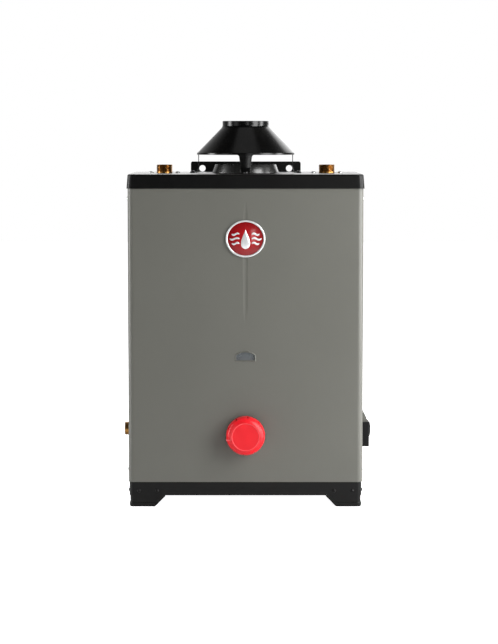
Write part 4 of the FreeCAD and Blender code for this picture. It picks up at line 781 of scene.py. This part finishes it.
def drop_emblem(shape):
    """Raised water drop on the dome.

    Outline: x = w sin t sin^1.6(t/2), z = h cos t, point at the top; height over the dome falls as 1 - s^6
    from the middle to the edge, and the skirt runs down into the enamel.
    """
    t = np.linspace(0, tau, 97)[None, :]
    s = np.concatenate([np.linspace(0, 1, 15), [1]])[:, None]
    x = 10.4 * MM * np.sin(t) * np.abs(np.sin(t / 2)) ** 1.6 * s
    z = 15.5 * MM * np.cos(t) * s - 0.8 * MM + 0 * s
    lift = 0.75 * MM * (1 - s ** 6)
    lift[-1] = -0.5 * MM
    return np.stack([x, z, dome_height(shape, x, z) + lift], axis=-1)


def wave_emblem(shape, side, level, reach):
    """Raised wave beside the drop: z = level + 1.3 sin(2 pi u), half width tapering to both ends."""
    u = np.linspace(0, 1, 41)[:, None]
    v = np.linspace(0, tau, 17)[None, :]
    half = 1.6 * MM * np.sqrt(np.maximum(1 - (2 * u - 1) ** 4, 0))
    x = side * (9.8 * MM + reach * u) + 0 * v
    z = level + 1.3 * MM * np.sin(tau * u) + half * np.cos(v)
    lift = 0.55 * MM * np.sin(v) * np.sqrt(np.maximum(1 - (2 * u - 1) ** 4, 0))
    return np.stack([x, z, dome_height(shape, x, z) + lift], axis=-1)


class HEATER_OT_badge(bpy.types.Operator):
    """Build the oval badge with its enamel and water drop"""
    bl_idname = "heater.badge"
    bl_label = "Badge"

    def execute(self, context):
        shape = context.scene.heater_badge
        centre = np.array([0, PANEL_Y, BADGE_Z])
        seat = 1.2 * MM
        corners = [(0, 0), (0, shape.thick), (shape.rim, shape.thick), (shape.rim, seat)]
        section = eased(corners, np.array([0, 1.3, 0.9, 0]) * MM, closed=True)
        rim = carried(oval(shape.width, shape.height), section, centre)
        piece("badge_ring", [rim], "casing", "chrome_trim", ["badge_rim"])
        s = np.concatenate([np.linspace(0, 1, 25), [1, 0]])[:, None]
        edge = oval(shape.width - 2 * shape.rim, shape.height - 2 * shape.rim)
        x, z = edge[None, :, 0] * s, edge[None, :, 1] * s
        height = dome_height(shape, x, z)
        height[-2:] = 1.25 * MM
        enamel = np.stack([x, z, height], axis=-1) @ FRONT + centre
        piece("badge_face", [enamel], "casing", "badge_enamel", ["badge_dome"])
        marks = [drop_emblem(shape)]
        for side in (-1, 1):
            for level, reach in ((7.5 * MM, 12.5 * MM), (0, 16 * MM), (-7.5 * MM, 12.5 * MM)):
                marks.append(wave_emblem(shape, side, level, reach))
        piece("badge_emblem", [grid @ FRONT + centre for grid in marks], "casing", "chrome_trim")
        return {"FINISHED"}


def arch_outline(shape, margin):
    """Closed outline of a flat-bottomed arch grown by margin.

    The arch is a circle of radius (c^2 + s^2) / 2s, for half its chord c and its rise s.
    """
    half, top = shape.width / 2 + margin, shape.height + margin
    rise = top - shape.side
    radius = (half ** 2 + rise ** 2) / (2 * rise)
    turn = np.linspace(1, -1, 25) * np.arcsin(half / radius)
    arch = np.stack([radius * np.sin(turn), top - radius + radius * np.cos(turn)], axis=1)
    corners = np.vstack([[(-half, -margin), (half, -margin)], arch])
    radii = np.zeros(len(corners))
    radii[[0, 1, 2, -1]] = 1.2 * MM
    return spaced(eased(corners, radii, closed=True), 0.5 * MM)


class HEATER_OT_window(bpy.types.Operator):
    """Build the sight window's frame and its pane"""
    bl_idname = "heater.window"
    bl_label = "Sight Window"

    def execute(self, context):
        shape = context.scene.heater_window
        centre = np.array([0, PANEL_Y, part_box("sight_bezel")[0].z])
        neck = shape.rim / 2 + 0.1 * MM
        corners = [(0, 0), (0, 0.2 * MM), (shape.proud, shape.proud), (shape.rim, shape.proud),
                   (shape.rim, -shape.sheet), (neck, -shape.sheet), (neck, 0)]
        section = eased(np.array(corners), np.array([0, 0.1, 0.3, 0.3, 0.1, 0.1, 0]) * MM, closed=True)
        frame_grid = carried(arch_outline(shape, 0.0), section, centre)
        piece("window_frame", [frame_grid], "casing", "jacket_paint", ["sight_bezel"])
        outline = arch_outline(shape, shape.lap)
        middle = np.array([0, shape.height / 2])
        s = np.concatenate([np.linspace(0, 1, 17), np.linspace(1, 0, 5)])[:, None, None]
        flat = middle + (outline[None] - middle) * s
        front = -shape.sheet - 0.05 * MM - 0.5 * MM * s ** 2
        height = np.broadcast_to(front, flat.shape[:2] + (1,)).copy()
        height[17:] = -shape.sheet - shape.glass
        pane = np.concatenate([flat, height], axis=-1) @ FRONT + centre
        piece("window_pane", [pane], "casing", "sight_glass", ["sight_glass"])
        return {"FINISHED"}


def leg_strip(shape):
    """Surface of one leg, out along +X.

    The strip's middle line runs from the cone down, flares out and turns into the foot; its section is
    |across| <= w / 2 with a round edge of half the sheet's thickness, and w widens from foot to cone.
    """
    t, r = shape.sheet, shape.leg
    top, base = shape.rim_height - 0.5 * MM, CAP_TOP + t / 2
    corners = [(r, top), (r, base + 9 * MM), (r + shape.leg_flare, base),
               (r + shape.leg_flare + shape.leg_foot - 3 * MM, base)]
    line = spaced(eased(corners, np.array([0, 6, 1.6, 0]) * MM), 1.2 * MM)
    ahead = unit(np.gradient(line, axis=0))
    out = np.stack([-ahead[:, 1], ahead[:, 0]], axis=1)
    lip = shape.rim_height - shape.lip
    levels = np.array([base, (base + lip) / 2, lip - 3 * MM, lip - 0.9 * MM, lip])
    half = np.interp(line[:, 1], levels, np.array([7.5, 9.0, 10.5, 11.4, 13.5]) * MM)
    line, out = line[[0, *range(len(line)), -1]], out[[0, *range(len(out)), -1]]
    half = half[[0, *range(len(half)), -1]]
    thick = np.full(len(line), t / 2)
    half[[0, -1]] = thick[[0, -1]] = 0
    turn = np.linspace(0, tau, 33)[None, :]
    side = np.sign(np.round(np.cos(turn), 6))
    across = side * np.maximum(half - thick, 0)[:, None] + thick[:, None] * np.cos(turn)
    lift = thick[:, None] * np.sin(turn)
    return np.stack([line[:, 0, None] + out[:, 0, None] * lift, across,
                     line[:, 1, None] + out[:, 1, None] * lift], axis=-1)


class HEATER_OT_hood(bpy.types.Operator):
    """Build the draft hood, its four legs and the flue collar"""
    bl_idname = "heater.hood"
    bl_label = "Draft Hood"

    def execute(self, context):
        shape = context.scene.heater_hood
        t = shape.sheet
        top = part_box("draft_hood")[1].z
        neck = top - shape.spigot_length
        lip = shape.rim_height - shape.lip
        corners = [(shape.spigot - t, top), (shape.spigot, top), (shape.spigot, neck),
                   (shape.root, shape.root_height), (shape.cone, shape.rim_height), (shape.cone, lip),
                   (shape.cone - t, lip), (shape.cone - t, shape.rim_height),
                   (shape.root - 1.4 * t, shape.root_height - 0.4 * MM),
                   (shape.spigot - t, neck - 0.4 * MM)]
        radii = np.array([0.4, 0.4, 6, 2, 1.2, 0.4, 0.4, 0.8, 1, 5]) * MM
        profile = spaced(eased(corners, radii, closed=True), 6 * MM)
        piece("hood_cone", [turned(profile, FLUE, sides=160)], "casing", "hood_enamel", ["draft_hood"])
        leg = leg_strip(shape)
        quarter = np.array([[0, 1, 0], [-1, 0, 0], [0, 0, 1]], float)
        legs = [leg @ np.linalg.matrix_power(quarter, turns) + FLUE for turns in range(4)]
        piece("hood_struts", legs, "casing", "hood_enamel", ["hood_legs"], finish="leg_enamel")
        base = CAP_TOP
        foot, high, inner = shape.collar_foot, base + shape.collar_height, shape.collar_hole
        corners = [(inner, base), (foot, base), (foot, base + t), (shape.collar_top, high),
                   (shape.collar_top - t, high), (foot - 1.4 * t, base + t), (inner, base + t)]
        radii = np.array([0, 0.3, 0.8, 0.5, 0.4, 0.3, 0]) * MM
        profile = eased(corners, radii, closed=True)
        piece("collar_ring", [turned(profile, FLUE, sides=144)], "casing", "collar_steel", ["flue_collar"])
        return {"FINISHED"}


def threaded(profile, start, end, pitch, depth, sides=96):
    """Turned profile with a screw thread between two heights on its outside.

    Radius = r - depth * |2 frac(h / pitch - a / 2 pi) - 1|, eased in over the first pitch and made up to
    a third shallower at the last.
    """
    angle = np.linspace(0, tau, sides + 1)[None, :]
    r, h = profile[:, 0, None] + 0 * angle, profile[:, 1, None] + 0 * angle
    outside = (profile[:, 0] > profile[:, 0].max() - 0.2 * MM)[:, None]
    saw = np.abs(2 * np.mod(h / pitch - angle / tau, 1) - 1)
    along = ease(h, start, start + pitch) * (1 - ease(h, end - 0.4 * pitch, end + 0.2 * pitch) * 0.3)
    cut = np.where(outside & (h > start) & (h < end + 1e-6), depth * saw * along, 0)
    return np.stack([(r - cut) * np.cos(angle), (r - cut) * np.sin(angle), h], axis=-1)


class HEATER_OT_pipes(bpy.types.Operator):
    """Build the two threaded water nipples and the gas inlet with its plain end"""
    bl_idname = "heater.pipes"
    bl_label = "Pipe Connections"

    def execute(self, context):
        shape = context.scene.heater_threads
        for node in ("cold_nipple", "hot_nipple"):
            low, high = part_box(node)
            bore, body, top, thread = 10.45 * MM, 13.0 * MM, high.z, high.z - 12.6 * MM
            corners = [(bore, low.z), (body, low.z), (body, thread), (shape.water_radius, thread),
                       (shape.water_radius, top), (bore, top)]
            radii = np.array([0, 0.3, 0, 0, 0.7, 0.4]) * MM
            profile = spaced(eased(corners, radii, closed=True), 0.22 * MM)
            centre = np.array([(low.x + high.x) / 2, FLUE[1], 0])
            grid = threaded(profile, thread, top, shape.water_pitch, shape.depth)
            piece(node + "_thread", [grid + centre], "casing", "brass", [node])
        pipe = shape.gas_radius / MM
        corners = np.array([(7, 9.5), (pipe, 9.5), (pipe, 0.5), (10.2, 0.5), (10.2, -1.1), (12.5, -1.1),
                            (12.5, -6.1), (8.5, -6.1), (8.5, -18), (6.1, -18), (6.1, -10), (5, -10),
                            (5, -4), (7, -4)]) * MM
        radii = np.array([0.4, 0.7, 0, 0, 0, 0.4, 0.4, 0.3, 0.2, 0, 0, 0, 0, 0]) * MM
        profile = spaced(eased(corners, radii, closed=True), 0.22 * MM)
        inlet = turned(profile, 0.0, 96) @ LEFT + np.array([-SIDE_X, SIDE_Y, INLET_Z])
        piece("gas_inlet_union", [inlet], "casing", "brass", ["gas_inlet_fitting"])
        return {"FINISHED"}


def screw_head(shape):
    """Pan head with a cross recess.

    Height = h (1 - s^4)^0.5, for s the share of the radius, less half the height inside the cross.
    """
    angle = np.linspace(0, tau, 65)[None, :]
    s = np.concatenate([np.linspace(0, 0.9, 22), [0.95, 0.98, 1, 1, 0]])[:, None]
    x, y = shape.radius * s * np.cos(angle), shape.radius * s * np.sin(angle)

    def within(value, limit):
        return 1 - ease(np.abs(value) / shape.radius, limit - 0.03, limit + 0.05)

    cross = np.maximum(within(x, 0.55) * within(y, 0.12), within(y, 0.55) * within(x, 0.12))
    height = shape.height * (np.sqrt(1 - s ** 4) - 0.5 * cross)
    height[-2:] = 0
    return np.stack([x, y, height], axis=-1)


class HEATER_OT_screws(bpy.types.Operator):
    """Build the screws in the cover, the sides and the wall bracket"""
    bl_idname = "heater.screws"
    bl_label = "Screws"

    def execute(self, context):
        shape = context.scene.heater_screws
        head = screw_head(shape)
        pipe = node_middle("hot_nipple").x
        beside = [(side * pipe + step, FLUE[1], CAP_TOP) for side in (-1, 1)
                  for step in (-shape.nipple, shape.nipple)]
        piece("cover_screw_heads", [head @ UP + at for at in beside], "casing", "zinc_steel",
              ["cover_screws"])
        r, top = shape.leg, CAP_TOP + context.scene.heater_hood.sheet
        legs = [FLUE + (r * np.cos(a), r * np.sin(a), top) for a in np.arange(4) * pi / 2]
        piece("leg_screw_heads", [head @ UP + at for at in legs], "casing", "zinc_steel",
              finish="leg_enamel")
        y = PANEL_Y + shape.edge
        sides = [head @ facing + (x, y, z) for x, facing in ((-SIDE_X, LEFT), (SIDE_X, RIGHT))
                 for z in (shape.low, shape.high)]
        piece("side_screw_heads", sides, "casing", "zinc_steel", ["side_screws"])
        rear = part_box("rear_wrapper")[1].y + shape.strip
        places = [(side * x, rear, shape.bracket) for side in (-1, 1) for x in (shape.inner, shape.outer)]
        piece("bracket_screw_heads", [head @ BACK + at for at in places], "casing", "zinc_steel",
              ["bracket_screws"])
        return {"FINISHED"}


class HEATER_OT_springs(bpy.types.Operator):
    """Build the return springs of the knob and the button"""
    bl_idname = "heater.springs"
    bl_label = "Return Springs"

    def execute(self, context):
        shape = context.scene.heater_springs
        low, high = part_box("knob_spring")
        length = high.y - low.y
        seat = np.array([0, high.y, KNOB_Z])
        coil = wound(shape.knob_turns, shape.knob, shape.wire, length, seat, FRONT)
        made = piece("knob_coil", [coil], "casing", "bright_steel", ["knob_spring"])
        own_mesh(made)
        low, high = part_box("igniter_spring")
        length = high.x - low.x
        seat = np.array([low.x, SIDE_Y, (low.z + high.z) / 2])
        coil = wound(shape.button_turns, shape.button, shape.wire, length, seat, RIGHT)
        made = piece("button_coil", [coil], "casing", "bright_steel", ["igniter_spring"])
        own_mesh(made)
        return {"FINISHED"}


class HEATER_OT_finishes(bpy.types.Operator):
    """Make the finishes and give each frame node the one its slot names"""
    bl_idname = "heater.finishes"
    bl_label = "Finishes"

    def execute(self, context):
        for make in EFFECTS:
            make()
        make_finishes(context.scene.heater_tones)
        for name, node in frame["nodes"].items():
            node.data.materials.clear()
            node.data.materials.append(bpy.data.materials[finish_title(SLOTS[name])])
        return {"FINISHED"}


# ---- Stage -----------------------------------------------------------------------------------------
def soft_light(name, place, width, height, power):
    """Soft box of the given width and height that faces the heater's middle."""
    light = bpy.data.lights.new(name, "AREA")
    light.shape = "RECTANGLE"
    light.size = width
    light.size_y = height
    light.energy = power
    made = bpy.data.objects.new(name, light)
    made.location = place
    made.rotation_euler = (HEATER_MIDDLE - Vector(place)).to_track_quat("-Z", "Y").to_euler()
    bpy.context.scene.collection.objects.link(made)


class HEATER_OT_stage(bpy.types.Operator):
    """Set up the floor, the camera and the lights"""
    bl_idname = "heater.stage"
    bl_label = "Stage"

    def execute(self, context):
        setup = context.scene.heater_studio
        span = np.linspace(-9, 9, 25)
        x, y = np.meshgrid(span, span, indexing="ij")
        below_feet = -0.2 * MM
        grid = np.stack([x, y, 0 * x + below_feet], axis=-1)
        mesh = bpy.data.meshes.new("floor")
        index = np.arange(grid.shape[0] * grid.shape[1]).reshape(grid.shape[:2])
        cells = np.stack([index[:-1, :-1], index[1:, :-1], index[1:, 1:], index[:-1, 1:]], axis=-1)
        mesh.from_pydata(grid.reshape(-1, 3).tolist(), [], cells.reshape(-1, 4).tolist())
        floor = bpy.data.objects.new("floor", mesh)
        context.scene.collection.objects.link(floor)
        tree, shader, where = start_finish("floor_paper", Roughness=0.9)
        paper = use(tree, "Tone Drift", Vector=where, Color=(0.93, 0.93, 0.93, 1), Drift=0.01, Scale=2.0)
        tree.links.new(paper["Color"], shader["Base Color"])
        shader["Emission Color"].default_value = (1, 1, 1, 1)
        seen = add_node(tree, "LightPath").outputs["Is Camera Ray"]
        tree.links.new(maths(tree, "MULTIPLY", seen, setup.paper), shader["Emission Strength"])
        mesh.materials.append(bpy.data.materials[finish_title("floor_paper")])

        camera = bpy.data.cameras.new("camera")
        camera.lens = setup.lens
        camera.clip_end = 50
        eye = bpy.data.objects.new("camera", camera)
        eye.location = (setup.aside, PANEL_Y - setup.distance, setup.height)
        eye.rotation_euler = (pi / 2 - setup.tilt, 0, 0)
        context.scene.collection.objects.link(eye)
        context.scene.camera = eye

        for name, place, width, height in (
                ("key", (1.15, -0.95, 0.85), 0.7, 1.6),
                ("fill", (-1.7, -1.5, 0.9), 0.8, 1.4),
                ("side", (-1.7, -0.12, 0.6), 0.5, 1.4),
                ("edge", (1.7, -0.12, 0.6), 0.5, 1.4),
                ("top", (0, 0, 2.2), 0.95, 0.8),
                ("band", (0.68, PANEL_Y - setup.distance, 0.6), 0.4, 1.2),
                ("rear", (0.5, 2.4, 1.4), 2.4, 1.6)):
            soft_light(name, place, width, height, getattr(setup, name))

        world = bpy.data.worlds.new("studio")
        world.use_nodes = True
        tree = world.node_tree
        tree.nodes.clear()
        direction = add_node(tree, "TexCoord").outputs["Generated"]
        depth = add_node(tree, "SeparateXYZ", {"Vector": direction}).outputs["Y"]
        level = spread(tree, depth, 0.35, 0.95, 0.03, 0.62)
        room = add_node(tree, "Background", {"Color": (1, 1, 1, 1), "Strength": level})
        paper = add_node(tree, "Background", {"Color": (1, 1, 1, 1), "Strength": 1.0})
        seen = add_node(tree, "LightPath").outputs["Is Camera Ray"]
        mixed = add_node(tree, "MixShader", {0: seen, 1: room.outputs[0], 2: paper.outputs[0]})
        add_node(tree, "OutputWorld", {"Surface": mixed.outputs[0]})
        context.scene.world = world
        context.scene.view_settings.view_transform = "Standard"
        return {"FINISHED"}


OPERATORS = (HEATER_OT_finishes, HEATER_OT_knob, HEATER_OT_badge, HEATER_OT_window, HEATER_OT_hood,
             HEATER_OT_pipes, HEATER_OT_screws, HEATER_OT_springs, HEATER_OT_stage)
SETTINGS = {"heater_tones": HeaterTones, "heater_knob": KnobShape, "heater_badge": BadgeShape,
            "heater_window": WindowShape, "heater_hood": HoodShape, "heater_threads": PipeThreads,
            "heater_screws": ScrewShape, "heater_springs": SpringShape, "heater_studio": StudioSetup}


class HEATER_PT_sidebar(bpy.types.Panel):
    """Buttons and settings of the water heater"""
    bl_label = "Water Heater"
    bl_idname = "HEATER_PT_sidebar"
    bl_space_type = "VIEW_3D"
    bl_region_type = "UI"
    bl_category = "Water Heater"

    def draw(self, context):
        for operator in OPERATORS:
            self.layout.operator(operator.bl_idname)
        for name, group in SETTINGS.items():
            box = self.layout.box()
            box.label(text=group.__doc__)
            for setting in group.__annotations__:
                box.prop(getattr(context.scene, name), setting)


def register():
    for group in SETTINGS.values():
        bpy.utils.register_class(group)
    for name, group in SETTINGS.items():
        setattr(bpy.types.Scene, name, bpy.props.PointerProperty(type=group))
    for operator in OPERATORS:
        bpy.utils.register_class(operator)
    bpy.utils.register_class(HEATER_PT_sidebar)


def unregister():
    bpy.utils.unregister_class(HEATER_PT_sidebar)
    for operator in reversed(OPERATORS):
        bpy.utils.unregister_class(operator)
    for name in SETTINGS:
        delattr(bpy.types.Scene, name)
    for group in SETTINGS.values():
        bpy.utils.unregister_class(group)


def main():
    register()
    for operator in OPERATORS:
        family, action = operator.bl_idname.split(".")
        getattr(getattr(bpy.ops, family), action)()


if __name__ == "__main__":
    main()
